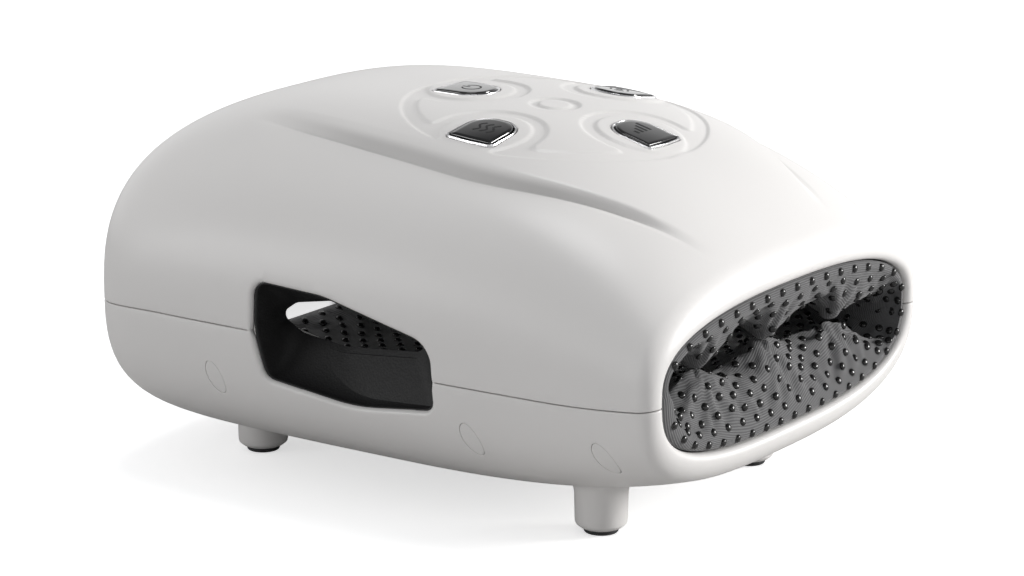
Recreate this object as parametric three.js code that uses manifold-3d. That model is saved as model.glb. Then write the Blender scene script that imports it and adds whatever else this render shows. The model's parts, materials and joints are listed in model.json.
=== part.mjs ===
// Hand massager: a pearl-white egg-shaped case on four short legs, with an oval mouth at the front
// for the hand, a thumb opening in each side and four push buttons on top. Inside are two air
// cushions on trays, an air pump with two valves, a battery, two circuit boards and a heating film.
// Millimetres. X is to the right, the mouth faces -Y, Z is up, and the origin is on the table under
// the middle of the case.
import * as THREE from "three";
import { mergeVertices } from "three/addons/utils/BufferGeometryUtils.js";
import Module from "manifold-3d";

const wasm = await Module();
wasm.setup();

// Sizes: gaps and walls shared by many pieces
const seatGap = 0.3;
const slideGap = 0.35;
const cutOverrun = 12;
const shellWall = 2.3;

// Sizes: outer form of the case. Places along and across it are shares of its length and half width
const bodyLength = 210;
const bodyHalfWidth = 86.7;
const bodyRise = 61.1;
const bodyDrop = 47;
const groundRoom = 7.45;
const middleHeight = bodyDrop + groundRoom;
const alongCase = (share) => bodyLength * share;
const acrossCase = (share) => bodyHalfWidth * share;
const widestAt = alongCase(0.2857);
const highestAt = alongCase(0.0443);
const deepestAt = alongCase(0.151);
const frontNarrowing = 12.9;
const frontHalfWidth = bodyHalfWidth - frontNarrowing;
const frontRise = 25.9;
const frontDrop = 31.8;
const lipDepth = 5;
const lipWidth = 4.9;
const rimInset = 6.95;
const rimDepth = 1;
const lipBack = 6.3;

// Sizes: the shoulder crease along each side of the top
const creaseReach = 56.7;
const creaseWidestAt = alongCase(-0.1095);
const creaseRearPull = 11.5;
const creaseRearRun = alongCase(0.619);
const creaseFrontPull = 36;
const creaseFrontRun = alongCase(0.5714);
const creaseRearEnd = alongCase(0.2857);
const creaseFrontEnd = alongCase(-0.4667);
const creaseFade = alongCase(0.1333);
const creaseBand = 9;
const creaseNarrowRun = alongCase(0.3333);
const creaseDepth = 2.2;

// Sizes: the seam between the two shells, higher behind the thumb openings than in front of them
const seamFrontDrop = 4.95;
const seamFrontHeight = middleHeight - seamFrontDrop;
const seamRearRise = 0.55;
const seamRearHeight = middleHeight + seamRearRise;
const seamStepStart = alongCase(-0.181);
const seamStepEnd = alongCase(0.1619);
const seamMouthRise = 2.2;
const seamMouthRun = alongCase(0.1714);
const seamTailDrop = 3;
const seamTailRun = alongCase(0.2143);

// Sizes: thumb openings and their ducts
const thumbLength = 64;
const thumbHeight = 34;
const thumbAt = alongCase(-0.0143);
const thumbDrop = 0.45;
const thumbMiddleHeight = middleHeight - thumbDrop;
const ductWall = 1.6;
const ductRecess = 0.5;
const ductStraightDepth = 8.7;
const ductStraightEnd = bodyHalfWidth - ductStraightDepth;
const ductDepth = 18.7;
const ductInnerEnd = bodyHalfWidth - ductDepth;
const ductNeck = 1.5;
const ductSlotLength = 56;
const ductSlotHeight = 14;
const ductSlotAt = alongCase(0.019);
const ductSlotRise = 2.55;
const ductSlotMiddle = middleHeight + ductSlotRise;
const thumbPassageDepth = 36.7;
const thumbPassageEnd = bodyHalfWidth - thumbPassageDepth;

// Sizes: buttons
const padCentreAt = alongCase(-0.0905);
const buttonAcross = 34;
const buttonAlong = 31.5;
const buttonTip = 8.4;
const buttonBack = 9.2;
const buttonBulge = 9.7;
const buttonHalfWidth = 8.6;
const buttonTipRadius = 7.8;
const buttonCornerRadius = 1.7;
const buttonBackRadius = 40;
const rimWidth = 0.8;
const rimProud = 0.35;
const rimHeight = 3.2;
const buttonProud = 0.6;
const buttonFlange = 1;
const buttonFlangeReach = 0.9;
const buttonTravel = 0.7;
const stemRadius = 1.6;

// Sizes: button board and its switches
const boardThick = 1.6;
const buttonBoardRoom = 10.4;
const buttonBoardRadius = alongCase(0.219);
const switchWidth = 6;
const switchHeight = 3.5;
const switchTopRadius = 1.7;
const switchTopHeight = 1.4;
const boardPostInset = 5;
const boardPostRing = buttonBoardRadius - boardPostInset;
const boardPostRadius = 3;

// Sizes: hand chamber, its mouth ring and trays
const ringWall = 1.6;
const ringFlangeReach = 1.5;
const ringFlangeThick = 2.2;
const trayWall = 1.8;
const chamberSideRoom = 20;
const chamberHalfWidth = bodyHalfWidth - chamberSideRoom;
const chamberTopRoom = 31.1;
const chamberRise = bodyRise - chamberTopRoom;
const chamberFloorRoom = 15;
const chamberDrop = bodyDrop - chamberFloorRoom;
const chamberFullAt = alongCase(-0.2857);
const chamberRearAt = alongCase(0.2171);
const trayFootRadius = 4;
const trayFootSpan = 28;
const trayFootFront = alongCase(-0.2762);
const trayFootRear = alongCase(0.1143);

// Sizes: air cushions
const cushionGap = 0.6;
const cushionSetback = 1.7;
const cushionFrontAt = cushionSetback - bodyLength / 2;
const cushionEdge = 2;
const pinchSetback = 11;
const pinchAt = pinchSetback - bodyLength / 2;
const pinchPitch = 38;
const pinchGap = 0.5;
const tunnelDrop = 6;
const tunnelRise = 7.5;
const pinchFade = 20;
const handHalfHeight = 9.5;
const meetDrop = 0.65;
const meetHeight = middleHeight - meetDrop;
const cushionSoftness = 3;

// Sizes: heating film
const filmThick = 0.6;
const filmSideRoom = 20.7;
const filmHalfWidth = chamberHalfWidth - filmSideRoom;
const filmFrontAt = alongCase(-0.2476);
const filmRearAt = alongCase(0.181);
const filmRoom = 1.6;

// Sizes: battery
const batteryDepth = alongCase(0.181);
const batteryThick = 19.5;
const batteryLength = acrossCase(0.761);
const batteryLiftShare = 0.1585;
const batteryBottom = groundRoom + bodyDrop * batteryLiftShare;

// Sizes: bulkhead behind the hand chamber, with the pump shelf
const bulkheadThick = 2.4;
const bulkheadSideRoom = 14.7;
const bulkheadHalfWidth = bodyHalfWidth - bulkheadSideRoom;
const bulkheadTopRoom = 14.5;
const bulkheadTop = middleHeight + bodyRise - bulkheadTopRoom;
const bulkheadGap = 0.5;
const shelfThick = 2;
const shelfRoom = 1;
const shelfTop = batteryBottom + batteryThick + shelfRoom + shelfThick;
const shelfDepth = alongCase(0.2);
const shelfLeft = -38;
const shelfRight = 22;
const fenceHeight = 6;
const fenceThick = 1.6;

// Sizes: air pump
const motorRadius = 12;
const motorLength = 28;
const motorLeft = -35;
const motorShoulder = 2;
const motorBossRadius = 4.5;
const motorBossLength = 1.5;
const shaftRadius = 1;
const shaftGap = 0.4;
const crankRadius = 6;
const crankOffset = 1.5;
const crankLength = 5;
const crankGap = 1.2;
const headRadius = 13.5;
const headWall = 2.5;
const headLength = 19;
const headEnd = 5;
const nozzleRadius = 2.2;
const nozzleLength = 6;
const hoseRadius = 2.2;

// Sizes: valves and their manifold
const manifoldLeft = 36;
const manifoldWidth = 6;
const manifoldDepth = 18;
const manifoldDrop = 14.45;
const manifoldBottom = middleHeight - manifoldDrop;
const manifoldHeight = 30;
const valveWidth = 13;
const valveDepth = 17;
const valveHeight = 12;
const valveMargin = 2;
const plungerRadius = 2.6;
const plungerLength = 10;
const plungerProud = 2.2;
const plungerTravel = 1;
const hoseBend = 7;
const hoseSideRoom = 17.9;

// Sizes: main board, and the battery's place
const mainBoardLeft = -42;
const mainBoardRight = 23;
const mainBoardRise = 11.55;
const mainBoardBottom = middleHeight + mainBoardRise;
const mainBoardHeight = 28;
const standoffRadius = 2.5;
const standoffLength = 2.6;
const standoffInset = 4.5;
const chipThick = 1.8;
const chipWidth = 14;
const plugWidth = 8;
const plugHeight = 5;
const capacitorHeight = 8;
const batteryFrontGap = 3.2;
const batteryRibSpan = batteryLength * 0.3;
const batteryRibThick = 2;

// Sizes: charging socket
const socketWidth = 10;
const socketHeight = 4.2;
const socketDepth = 9;
const socketWall = 0.6;
const socketFloor = 2;
const socketDrop = 18.45;
const socketMiddle = middleHeight - socketDrop;
const socketRecess = 0.4;

// Sizes: legs and foot pads
const legSpan = acrossCase(0.4614);
const legReach = alongCase(0.3105);
const legRadius = 7.75;
const legTopRadius = 8.4;
const legChamfer = 1.6;
const legTopDrop = 27.45;
const legTopHeight = middleHeight - legTopDrop;
const legSpigotRadius = 4;
const legSpigotRise = 6;
const footRadius = 5.8;
const footThick = 2.7;
const footRound = 0.7;
const footStudRadius = 2.5;
const footStudHeight = 3.4;

// Sizes: case screws, their bosses and the plugs over them
const screwBehindThumb = 16;
const screwBeforeThumb = 9.5;
const screwFrontSetback = 17;
const screwRearInset = 3.4;
const screwMiddleInset = 3.8;
const screwFrontInset = 5;
const screwSeatDrop = 10.45;
const screwSeat = middleHeight - screwSeatDrop;
const screwSeatFrontDrop = 12.45;
const screwSeatFront = middleHeight - screwSeatFrontDrop;
const plugRadius = 2.3;
const bossWall = 1.9;
const screwHeadRadius = 1.9;
const screwHeadHeight = 1.8;
const screwRadius = 1.1;
const screwLength = 22;
const upperBossRadius = 3.2;
const upperBossHeight = 14;
const bossDrop = 34.45;
const bossBottom = middleHeight - bossDrop;

// Shape numbers: how blunt and how round each outline of the case is
const sideForm = {
  full: bodyHalfWidth,
  at: widestAt,
  front: frontHalfWidth,
  blunt: 5,
  round: 3.38,
  ease: 1.3,
};
const topForm = {
  full: bodyRise,
  at: highestAt,
  front: frontRise,
  blunt: 2.97,
  round: 5,
  ease: 3.02,
};
const underForm = {
  full: bodyDrop,
  at: deepestAt,
  front: frontDrop,
  blunt: 4.75,
  round: 4.8,
  ease: 3.64,
};
const topPowerRear = 2.81;
const topPowerFront = 2.56;
const underPowerRear = 2.79;
const underPowerFront = 2.93;
const chamberPower = 2.8;
const creaseBandPower = 1.6;
const underSpreadPower = 1.4;
const creaseNarrowShare = 0.5;
const creaseWidestShare = 0.82;
const leastAngleStep = 0.04;
const leastSpreadShare = 0.5;
const mergeShare = 1e-7;

// Shape numbers: rings along the case as shares of its length, close together where it bends most
const caseRingShares = [
  0.07, 0.13, 0.21, 0.3, 0.4, 0.5, 0.6, 0.69, 0.765, 0.83, 0.88, 0.92, 0.95, 0.972, 0.988, 0.9965, 0.9993,
];
const hollowRingShares = [0.13, 0.25, 0.38, 0.52, 0.65, 0.76, 0.85, 0.92, 0.96, 0.985, 0.997];
const chamberRowShares = [0, 0.013, 0.055, 0.105, 0.17, 0.254, 0.42, 0.6, 0.8, 1];
const mouthRowShares = [0, 0.22, 0.5, 0.78];

// Outline corners as shares of half the length and half the height, and of half the height for radii
const thumbCornerShares = [
  [0.985, 1, 0.36],
  [0.93, -0.86, 0.55],
  [0.1, -1.02, 3.2],
  [-1, -0.82, 0.26],
  [-0.98, 0.4, 0.62],
  [0.16, 0.88, 3.2],
];
const slotCornerShares = [
  [0.95, 0.35, 0.4],
  [0.95, -0.35, 0.4],
  [0.15, -0.95, 2.4],
  [-0.93, -0.45, 0.5],
  [-0.93, 0.75, 0.5],
  [0.3, 0.95, 2.4],
];

// Colours and finishes
const pearl = { color: 0xece9e4, roughness: 0.42, metalness: 0 };
const blackPlastic = { color: 0x1b1b1c, roughness: 0.6, metalness: 0 };
const glossBlack = { color: 0x0c0c0d, roughness: 0.12, metalness: 0 };
const chrome = { color: 0xe4e4e6, roughness: 0.08, metalness: 1 };
const rubber = { color: 0x2b2b2c, roughness: 0.85, metalness: 0 };
const knit = { color: 0x6b6b6d, roughness: 0.9, metalness: 0 };
const innerPlastic = { color: 0xdedcd8, roughness: 0.55, metalness: 0 };
const steel = { color: 0xa9abae, roughness: 0.35, metalness: 1 };
const board = { color: 0x1e5a34, roughness: 0.55, metalness: 0 };
const wrap = { color: 0x2f62a8, roughness: 0.4, metalness: 0 };
const hoseRubber = { color: 0xc9c6bf, roughness: 0.5, metalness: 0 };
const amberFilm = { color: 0xb5782a, roughness: 0.4, metalness: 0 };

const massager = new THREE.Group();
massager.name = "hand_massager";

// Helpers: numbers
const clamp = (value, low, high) => Math.min(Math.max(value, low), high);
const mix = (from, to, share) => from + (to - from) * share;

function ease(share) {
  const s = clamp(share, 0, 1);
  return s * s * (3 - 2 * s);
}

function signedPower(value, power) {
  return Math.sign(value) * Math.abs(value) ** power;
}

// Helpers: closed meshes and their joins and cuts
function signedVolume(positions, triangles) {
  let sum = 0;
  const corner = (i) => new THREE.Vector3().fromArray(positions, triangles[i] * 3);
  for (let i = 0; i < triangles.length; i += 3) {
    sum += corner(i).dot(corner(i + 1).cross(corner(i + 2)));
  }
  return sum / 6;
}

function solidOf(geometry) {
  const bare = geometry.clone();
  bare.deleteAttribute("normal");
  bare.deleteAttribute("uv");
  const merged = mergeVertices(bare, bodyLength * mergeShare);
  const positions = Float32Array.from(merged.attributes.position.array);
  const kept = [];
  const index = merged.index.array;
  for (let i = 0; i < index.length; i += 3) {
    const [a, b, c] = [index[i], index[i + 1], index[i + 2]];
    if (a !== b && b !== c && c !== a) kept.push(a, b, c);
  }
  if (signedVolume(positions, kept) < 0) kept.reverse();
  return new wasm.Manifold(
    new wasm.Mesh({ numProp: 3, vertProperties: positions, triVerts: Uint32Array.from(kept) }),
  );
}

function geometryOf(solid) {
  const mesh = solid.getMesh();
  const geometry = new THREE.BufferGeometry();
  geometry.setAttribute("position", new THREE.BufferAttribute(Float32Array.from(mesh.vertProperties), 3));
  geometry.setIndex(Array.from(mesh.triVerts));
  geometry.computeVertexNormals();
  return geometry;
}

function addPiece(name, solid, finish, parent = massager) {
  const mesh = new THREE.Mesh(geometryOf(solid), new THREE.MeshStandardMaterial(finish));
  mesh.name = name;
  parent.add(mesh);
  return mesh;
}

// A solid through a row of rings with equally many points; joined end to start it is a hollow sleeve
function loft(rings, sleeve = false) {
  const around = rings[0].length;
  const points = rings.flat();
  const triangles = [];
  const last = sleeve ? rings.length : rings.length - 1;
  for (let r = 0; r < last; r += 1) {
    const here = r * around;
    const next = ((r + 1) % rings.length) * around;
    for (let i = 0; i < around; i += 1) {
      const j = (i + 1) % around;
      triangles.push(here + i, here + j, next + j, here + i, next + j, next + i);
    }
  }
  if (!sleeve) {
    for (const [start, flip] of [
      [0, true],
      [(rings.length - 1) * around, false],
    ]) {
      const middle = new THREE.Vector3();
      for (let i = 0; i < around; i += 1) middle.addScaledVector(points[start + i], 1 / around);
      points.push(middle);
      for (let i = 0; i < around; i += 1) {
        const j = (i + 1) % around;
        const pair = flip ? [start + j, start + i] : [start + i, start + j];
        triangles.push(points.length - 1, ...pair);
      }
    }
  }
  const geometry = new THREE.BufferGeometry();
  const flat = points.flatMap((p) => [p.x, p.y, p.z]);
  geometry.setAttribute("position", new THREE.Float32BufferAttribute(flat, 3));
  geometry.setIndex(triangles);
  return solidOf(geometry);
}

// Helpers: simple forms, placed by their own measures
function boxBetween(low, high) {
  const size = new THREE.Vector3().subVectors(high, low);
  const geometry = new THREE.BoxGeometry(size.x, size.y, size.z);
  geometry.translate((low.x + high.x) / 2, (low.y + high.y) / 2, (low.z + high.z) / 2);
  return solidOf(geometry);
}

const at = (x, y, z) => new THREE.Vector3(x, y, z);

function turnedUp(profile, x, y, segments) {
  const geometry = new THREE.LatheGeometry(
    profile.map(([r, z]) => new THREE.Vector2(r, z)),
    segments,
  );
  geometry.rotateX(Math.PI / 2);
  geometry.translate(x, y, 0);
  return solidOf(geometry);
}

function turnedAlongX(profile, y, z, segments) {
  const geometry = new THREE.LatheGeometry(
    profile.map(([r, x]) => new THREE.Vector2(r, x)),
    segments,
  );
  geometry.rotateZ(-Math.PI / 2);
  geometry.translate(0, y, z);
  return solidOf(geometry);
}

function post(x, y, radius, low, high, segments = 10) {
  return turnedUp([[0, low], [radius, low], [radius, high], [0, high]], x, y, segments);
}

function rod(x, z, radius, front, rear, segments = 12) {
  const geometry = new THREE.CylinderGeometry(radius, radius, rear - front, segments);
  geometry.translate(x, (front + rear) / 2, z);
  return solidOf(geometry);
}

function prismUp(outline, low, high, hole) {
  const shape = new THREE.Shape(outline);
  if (hole) shape.holes.push(new THREE.Path(hole));
  const geometry = new THREE.ExtrudeGeometry(shape, { depth: high - low, bevelEnabled: false });
  geometry.translate(0, 0, low);
  return solidOf(geometry);
}

// The outline lies in the Y-Z plane and the prism runs along X
function prismAcross(outline, left, right) {
  const geometry = new THREE.ExtrudeGeometry(new THREE.Shape(outline), {
    depth: right - left,
    bevelEnabled: false,
  });
  geometry.applyMatrix4(new THREE.Matrix4().makeBasis(at(0, 1, 0), at(0, 0, 1), at(1, 0, 0)));
  geometry.translate(left, 0, 0);
  return solidOf(geometry);
}

// Helpers: outlines
function roundedOutline(corners, arcSteps = 3) {
  const points = [];
  corners.forEach(([x, y, radius], i) => {
    const corner = new THREE.Vector2(x, y);
    const before = new THREE.Vector2(...corners[(i + corners.length - 1) % corners.length]);
    const after = new THREE.Vector2(...corners[(i + 1) % corners.length]);
    const toBefore = before.sub(corner);
    const toAfter = after.sub(corner);
    const longest = Math.min(toBefore.length(), toAfter.length()) / 2;
    toBefore.normalize();
    toAfter.normalize();
    const half = Math.acos(clamp(toBefore.dot(toAfter), -1, 1)) / 2;
    const reach = Math.min(radius / Math.tan(half), longest);
    const arcRadius = reach * Math.tan(half);
    const bisector = toBefore.clone().add(toAfter).normalize();
    const centre = corner.clone().addScaledVector(bisector, arcRadius / Math.sin(half));
    const start = corner.clone().addScaledVector(toBefore, reach).sub(centre);
    const end = corner.clone().addScaledVector(toAfter, reach).sub(centre);
    const sweep = Math.atan2(start.cross(end), start.dot(end));
    for (let s = 0; s <= arcSteps; s += 1) {
      points.push(start.clone().rotateAround(new THREE.Vector2(), (sweep * s) / arcSteps).add(centre));
    }
  });
  return points;
}

function grown(outline, distance) {
  const turn = Math.sign(THREE.ShapeUtils.area(outline));
  return outline.map((point, i) => {
    const before = outline[(i + outline.length - 1) % outline.length];
    const after = outline[(i + 1) % outline.length];
    const inward = new THREE.Vector2().subVectors(point, before).normalize();
    const onward = new THREE.Vector2().subVectors(after, point).normalize();
    const normal = new THREE.Vector2(inward.y + onward.y, -inward.x - onward.x).normalize();
    const spread = Math.max(normal.x * onward.y - normal.y * onward.x, leastSpreadShare);
    return point.clone().addScaledVector(normal, (turn * distance) / spread);
  });
}

function cornerOutline(shares, middleY, middleZ, halfLength, halfHeight) {
  return roundedOutline(
    shares.map(([y, z, r]) => [middleY + y * halfLength, middleZ + z * halfHeight, r * halfHeight]),
  );
}

// The case: half width, rise and drop of its section at a distance along it, moved in by an inset
function formAt(form, y, inset) {
  const rearEnd = bodyLength / 2 - inset;
  if (y > form.at) {
    const t = Math.min((y - form.at) / (rearEnd - form.at), 1);
    return (form.full - inset) * (1 - t ** form.blunt) ** (1 / form.round);
  }
  const u = (form.at - y) / (form.at + bodyLength / 2);
  return form.full - inset - (form.full - form.front) * u ** form.ease;
}

function sectionPowers(y) {
  const front = clamp(-y / (bodyLength / 2), 0, 1);
  return [mix(topPowerRear, topPowerFront, front), mix(underPowerRear, underPowerFront, front)];
}

// The crease: the plateau of the top ends at high, and the step down reaches its foot at low
function creaseAt(y) {
  const rearPull = creaseRearPull * ease((y - creaseWidestAt) / creaseRearRun);
  const frontPull = creaseFrontPull * ease((creaseWidestAt - y) / creaseFrontRun);
  const fade = ease((creaseRearEnd - y) / creaseFade) * ease((y - creaseFrontEnd) / creaseFade);
  const band = creaseBand * (1 - creaseNarrowShare * ease(-y / creaseNarrowRun));
  const low = creaseReach - rearPull - frontPull;
  return { low, high: low - band, depth: creaseDepth * fade };
}

function sectionPoint(y, angle, inset) {
  const halfWidth = formAt(sideForm, y, inset);
  const [topPower, underPower] = sectionPowers(y);
  const up = Math.sin(angle) > 0;
  const power = up ? topPower : underPower;
  const height = formAt(up ? topForm : underForm, y, inset);
  const x = halfWidth * signedPower(Math.cos(angle), 2 / power);
  const z = height * signedPower(Math.sin(angle), 2 / power);
  const point = at(x, y, middleHeight + z);
  if (!up) return point;
  const { low, high, depth } = creaseAt(y);
  const across = Math.abs(x) + inset;
  const onBand = clamp((across - high) / (low - high), 0, 1) ** creaseBandPower;
  const beyond = clamp((halfWidth + inset - across) / (halfWidth + inset - low), 0, 1) ** 2;
  const dent = depth * (across < low ? onBand : beyond);
  const inward = at(x, 0, z).normalize();
  return point.addScaledVector(inward, -dent);
}

// Points round the section, with one on each edge of the crease
function caseRing(y, inset, [sideSteps, bandSteps, topSteps, underSteps]) {
  const halfWidth = formAt(sideForm, y, inset);
  const [topPower] = sectionPowers(y);
  const { low, high } = creaseAt(y);
  const angleOf = (x) => Math.acos(Math.min((x - inset) / halfWidth, creaseWidestShare) ** (topPower / 2));
  const lowAngle = angleOf(low);
  const highAngle = Math.max(angleOf(high), lowAngle + leastAngleStep);
  const quarter = [];
  for (let i = 0; i < sideSteps; i += 1) quarter.push((lowAngle * i) / sideSteps);
  for (let i = 0; i < bandSteps; i += 1) quarter.push(mix(lowAngle, highAngle, i / bandSteps));
  for (let i = 0; i < topSteps; i += 1) quarter.push(mix(highAngle, Math.PI / 2, i / topSteps));
  const angles = [...quarter, Math.PI / 2, ...quarter.slice(1).map((a) => Math.PI - a).reverse()];
  for (let i = -underSteps; i < underSteps; i += 1) {
    const spread = 1 - (1 - Math.abs(i / underSteps)) ** underSpreadPower;
    angles.push(Math.PI * (1.5 + (Math.sign(i) * spread) / 2));
  }
  return angles.map((angle) => sectionPoint(y, angle, inset));
}

const caseSteps = [4, 2, 4, 7];
const hollowSteps = [3, 1, 3, 5];
const ringY = (share, inset) => mix(-bodyLength / 2, bodyLength / 2 - inset, share);

function caseSolid(inset) {
  const rings = [];
  const lipSteps = 3;
  for (let i = 0; i < lipSteps; i += 1) {
    const angle = (Math.PI / 2) * (i / lipSteps);
    const y = -bodyLength / 2 + inset + lipDepth * (1 - Math.cos(angle));
    rings.push(caseRing(y, inset + lipWidth * (1 - Math.sin(angle)), caseSteps));
  }
  for (const share of caseRingShares) rings.push(caseRing(ringY(share, inset), inset, caseSteps));
  return loft(rings);
}

function hollowSolid(inset) {
  const rings = [caseRing(-bodyLength / 2 + lipBack, inset + lipWidth / 2, hollowSteps)];
  for (const share of hollowRingShares) rings.push(caseRing(ringY(share, inset), inset, hollowSteps));
  return loft(rings);
}

// The mouth: the front section moved in to the rim, flared a little where it meets the lip
const mouthSteps = [8, 1, 5, 9];

function mouthRing(y, inset) {
  const ring = caseRing(-bodyLength / 2, rimInset + inset, mouthSteps);
  return ring.map((point) => at(point.x, y, point.z));
}

function mouthCut() {
  const front = -bodyLength / 2;
  return loft([
    mouthRing(front - cutOverrun, lipWidth - rimInset),
    mouthRing(front, lipWidth - rimInset),
    mouthRing(front + rimDepth, 0),
    mouthRing(front + lipBack + cutOverrun, 0),
  ]);
}

// The seam: its height along the case
function seamHeight(y) {
  const step = ease((y - seamStepStart) / (seamStepEnd - seamStepStart));
  const mouth = clamp((-bodyLength / 2 + seamMouthRun - y) / seamMouthRun, 0, 1) ** 2;
  const tail = clamp((y - bodyLength / 2 + seamTailRun) / seamTailRun, 0, 1) ** 2;
  return mix(seamFrontHeight, seamRearHeight, step) + seamMouthRise * mouth - seamTailDrop * tail;
}

function seamHalf(side) {
  const outline = [];
  const count = 18;
  const reach = bodyLength / 2 + cutOverrun;
  for (let i = 0; i <= count; i += 1) {
    const y = mix(-reach, reach, i / count);
    outline.push(new THREE.Vector2(y, seamHeight(y) + (side * seatGap) / 2));
  }
  const far = middleHeight + side * (bodyRise + cutOverrun);
  outline.push(new THREE.Vector2(reach, far), new THREE.Vector2(-reach, far));
  const wide = bodyHalfWidth + cutOverrun;
  return prismAcross(outline, -wide, wide);
}

// The top surface: height and outward direction above a place on it
function topHeight(x, y) {
  const halfWidth = formAt(sideForm, y, 0);
  const [power] = sectionPowers(y);
  return middleHeight + formAt(topForm, y, 0) * (1 - (Math.abs(x) / halfWidth) ** power) ** (1 / power);
}

function topNormal(x, y) {
  const step = buttonCornerRadius / 4;
  const slopeX = (topHeight(x + step, y) - topHeight(x - step, y)) / (2 * step);
  const slopeY = (topHeight(x, y + step) - topHeight(x, y - step)) / (2 * step);
  return at(-slopeX, -slopeY, 1).normalize();
}

// Buttons: round towards the middle, broad and nearly straight outside, each square to the surface
const pickOutline = roundedOutline([
  [-buttonTip, -buttonHalfWidth, buttonTipRadius],
  [buttonBack, -buttonHalfWidth, buttonCornerRadius],
  [buttonBulge, 0, buttonBackRadius],
  [buttonBack, buttonHalfWidth, buttonCornerRadius],
  [-buttonTip, buttonHalfWidth, buttonTipRadius],
]);
const buttonSpots = [
  { name: "power", direction: at(0, 1, 0) },
  { name: "heat", direction: at(-1, 0, 0) },
  { name: "level", direction: at(0, -1, 0) },
  { name: "mode", direction: at(1, 0, 0) },
].map(({ name, direction }) => {
  const spot = at(direction.x * buttonAcross, padCentreAt + direction.y * buttonAlong, 0);
  spot.z = topHeight(spot.x, spot.y);
  return { name, direction, spot };
});
const buttonBoardTop = Math.min(...buttonSpots.map(({ spot }) => spot.z)) - buttonBoardRoom;
const buttonPlaces = buttonSpots.map(({ name, direction, spot }) => {
  const normal = topNormal(spot.x, spot.y);
  const tangent = new THREE.Vector3().crossVectors(normal, direction).normalize();
  const outward = new THREE.Vector3().crossVectors(tangent, normal);
  const frame = new THREE.Matrix4().makeBasis(outward, tangent, normal).setPosition(spot);
  const tilt = stemRadius * Math.hypot(normal.x, normal.y);
  const stemEnd = buttonBoardTop + seatGap + switchHeight + switchTopHeight + seatGap + buttonTravel + tilt;
  const stemLength = (spot.z - stemEnd) / normal.z;
  return { name, spot, normal, frame, stemLength };
});

function placedSolid(solid, frame) {
  const geometry = geometryOf(solid);
  geometry.applyMatrix4(frame);
  return solidOf(geometry);
}

function buttonCut(place) {
  return placedSolid(prismUp(grown(pickOutline, seatGap), -cutOverrun / 2, cutOverrun / 2), place.frame);
}

function buttonSolid(place) {
  const face = grown(pickOutline, -rimWidth - slideGap);
  const rimBottom = rimProud - rimHeight;
  const flangeTop = rimBottom - seatGap;
  const flangeBottom = flangeTop - buttonFlange;
  const cap = prismUp(face, flangeBottom, buttonProud);
  const flange = prismUp(grown(face, buttonFlangeReach), flangeBottom, flangeTop);
  const stem = post(0, 0, stemRadius, -place.stemLength, flangeTop, 12);
  return cap.add(flange).add(stem);
}

function rimSolid() {
  return prismUp(pickOutline, rimProud - rimHeight, rimProud, grown(pickOutline, -rimWidth));
}

function addButtons() {
  for (const place of buttonPlaces) {
    const seat = new THREE.Group();
    seat.applyMatrix4(place.frame);
    massager.add(seat);
    addPiece(`${place.name}_button`, buttonSolid(place), glossBlack, seat);
    addPiece(`${place.name}_button_rim`, rimSolid(), chrome, seat);
  }
}

function addButtonBoard() {
  const circle = new THREE.EllipseCurve(0, padCentreAt, buttonBoardRadius, buttonBoardRadius);
  const outline = circle.getPoints(28).slice(1);
  addPiece("button_board", prismUp(outline, buttonBoardTop - boardThick, buttonBoardTop), board);
  for (const { name, spot, normal, stemLength } of buttonPlaces) {
    const end = spot.clone().addScaledVector(normal, -stemLength);
    const low = buttonBoardTop + seatGap;
    const high = low + switchHeight;
    const half = switchWidth / 2;
    const base = boxBetween(at(end.x - half, end.y - half, low), at(end.x + half, end.y + half, high));
    const top = post(end.x, end.y, switchTopRadius, low + switchHeight / 2, high + switchTopHeight, 12);
    addPiece(`${name}_switch`, base.add(top), blackPlastic);
  }
}

// Thumb openings and their black ducts
const thumbOutline = cornerOutline(
  thumbCornerShares,
  thumbAt,
  thumbMiddleHeight,
  thumbLength / 2,
  thumbHeight / 2,
);
const slotOutline = cornerOutline(
  slotCornerShares,
  ductSlotAt,
  ductSlotMiddle,
  ductSlotLength / 2,
  ductSlotHeight / 2,
);

function acrossRing(outline, x) {
  return outline.map((point) => at(x, point.x, point.y));
}

function ductSolid(side) {
  const outerEnd = bodyHalfWidth + cutOverrun;
  const body = loft(
    [
      acrossRing(grown(thumbOutline, -seatGap), side * outerEnd),
      acrossRing(grown(thumbOutline, -seatGap), side * ductStraightEnd),
      acrossRing(grown(slotOutline, ductWall), side * (ductInnerEnd + ductNeck)),
      acrossRing(grown(slotOutline, ductWall), side * ductInnerEnd),
      acrossRing(slotOutline, side * ductInnerEnd),
      acrossRing(grown(thumbOutline, -seatGap - ductWall), side * (ductStraightEnd + ductWall)),
      acrossRing(grown(thumbOutline, -seatGap - ductWall), side * outerEnd),
    ],
    true,
  );
  return body.intersect(caseSolid(ductRecess));
}

function thumbCuts(outline, inner, outer) {
  return prismAcross(outline, -outer, -inner).add(prismAcross(outline, inner, outer));
}

// Case screws: three under each side, in bosses, with a plug flush with the outside
const thumbRearAt = thumbAt + thumbLength / 2;
const thumbFrontAt = thumbAt - thumbLength / 2;
const screwPlaces = [
  { place: "rear", inset: screwRearInset, y: thumbRearAt + screwBehindThumb, seat: screwSeat },
  { place: "middle", inset: screwMiddleInset, y: thumbFrontAt - screwBeforeThumb, seat: screwSeat },
  { place: "front", inset: screwFrontInset, y: screwFrontSetback - bodyLength / 2, seat: screwSeatFront },
];
const bothSides = [
  ["left", -1],
  ["right", 1],
];

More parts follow.
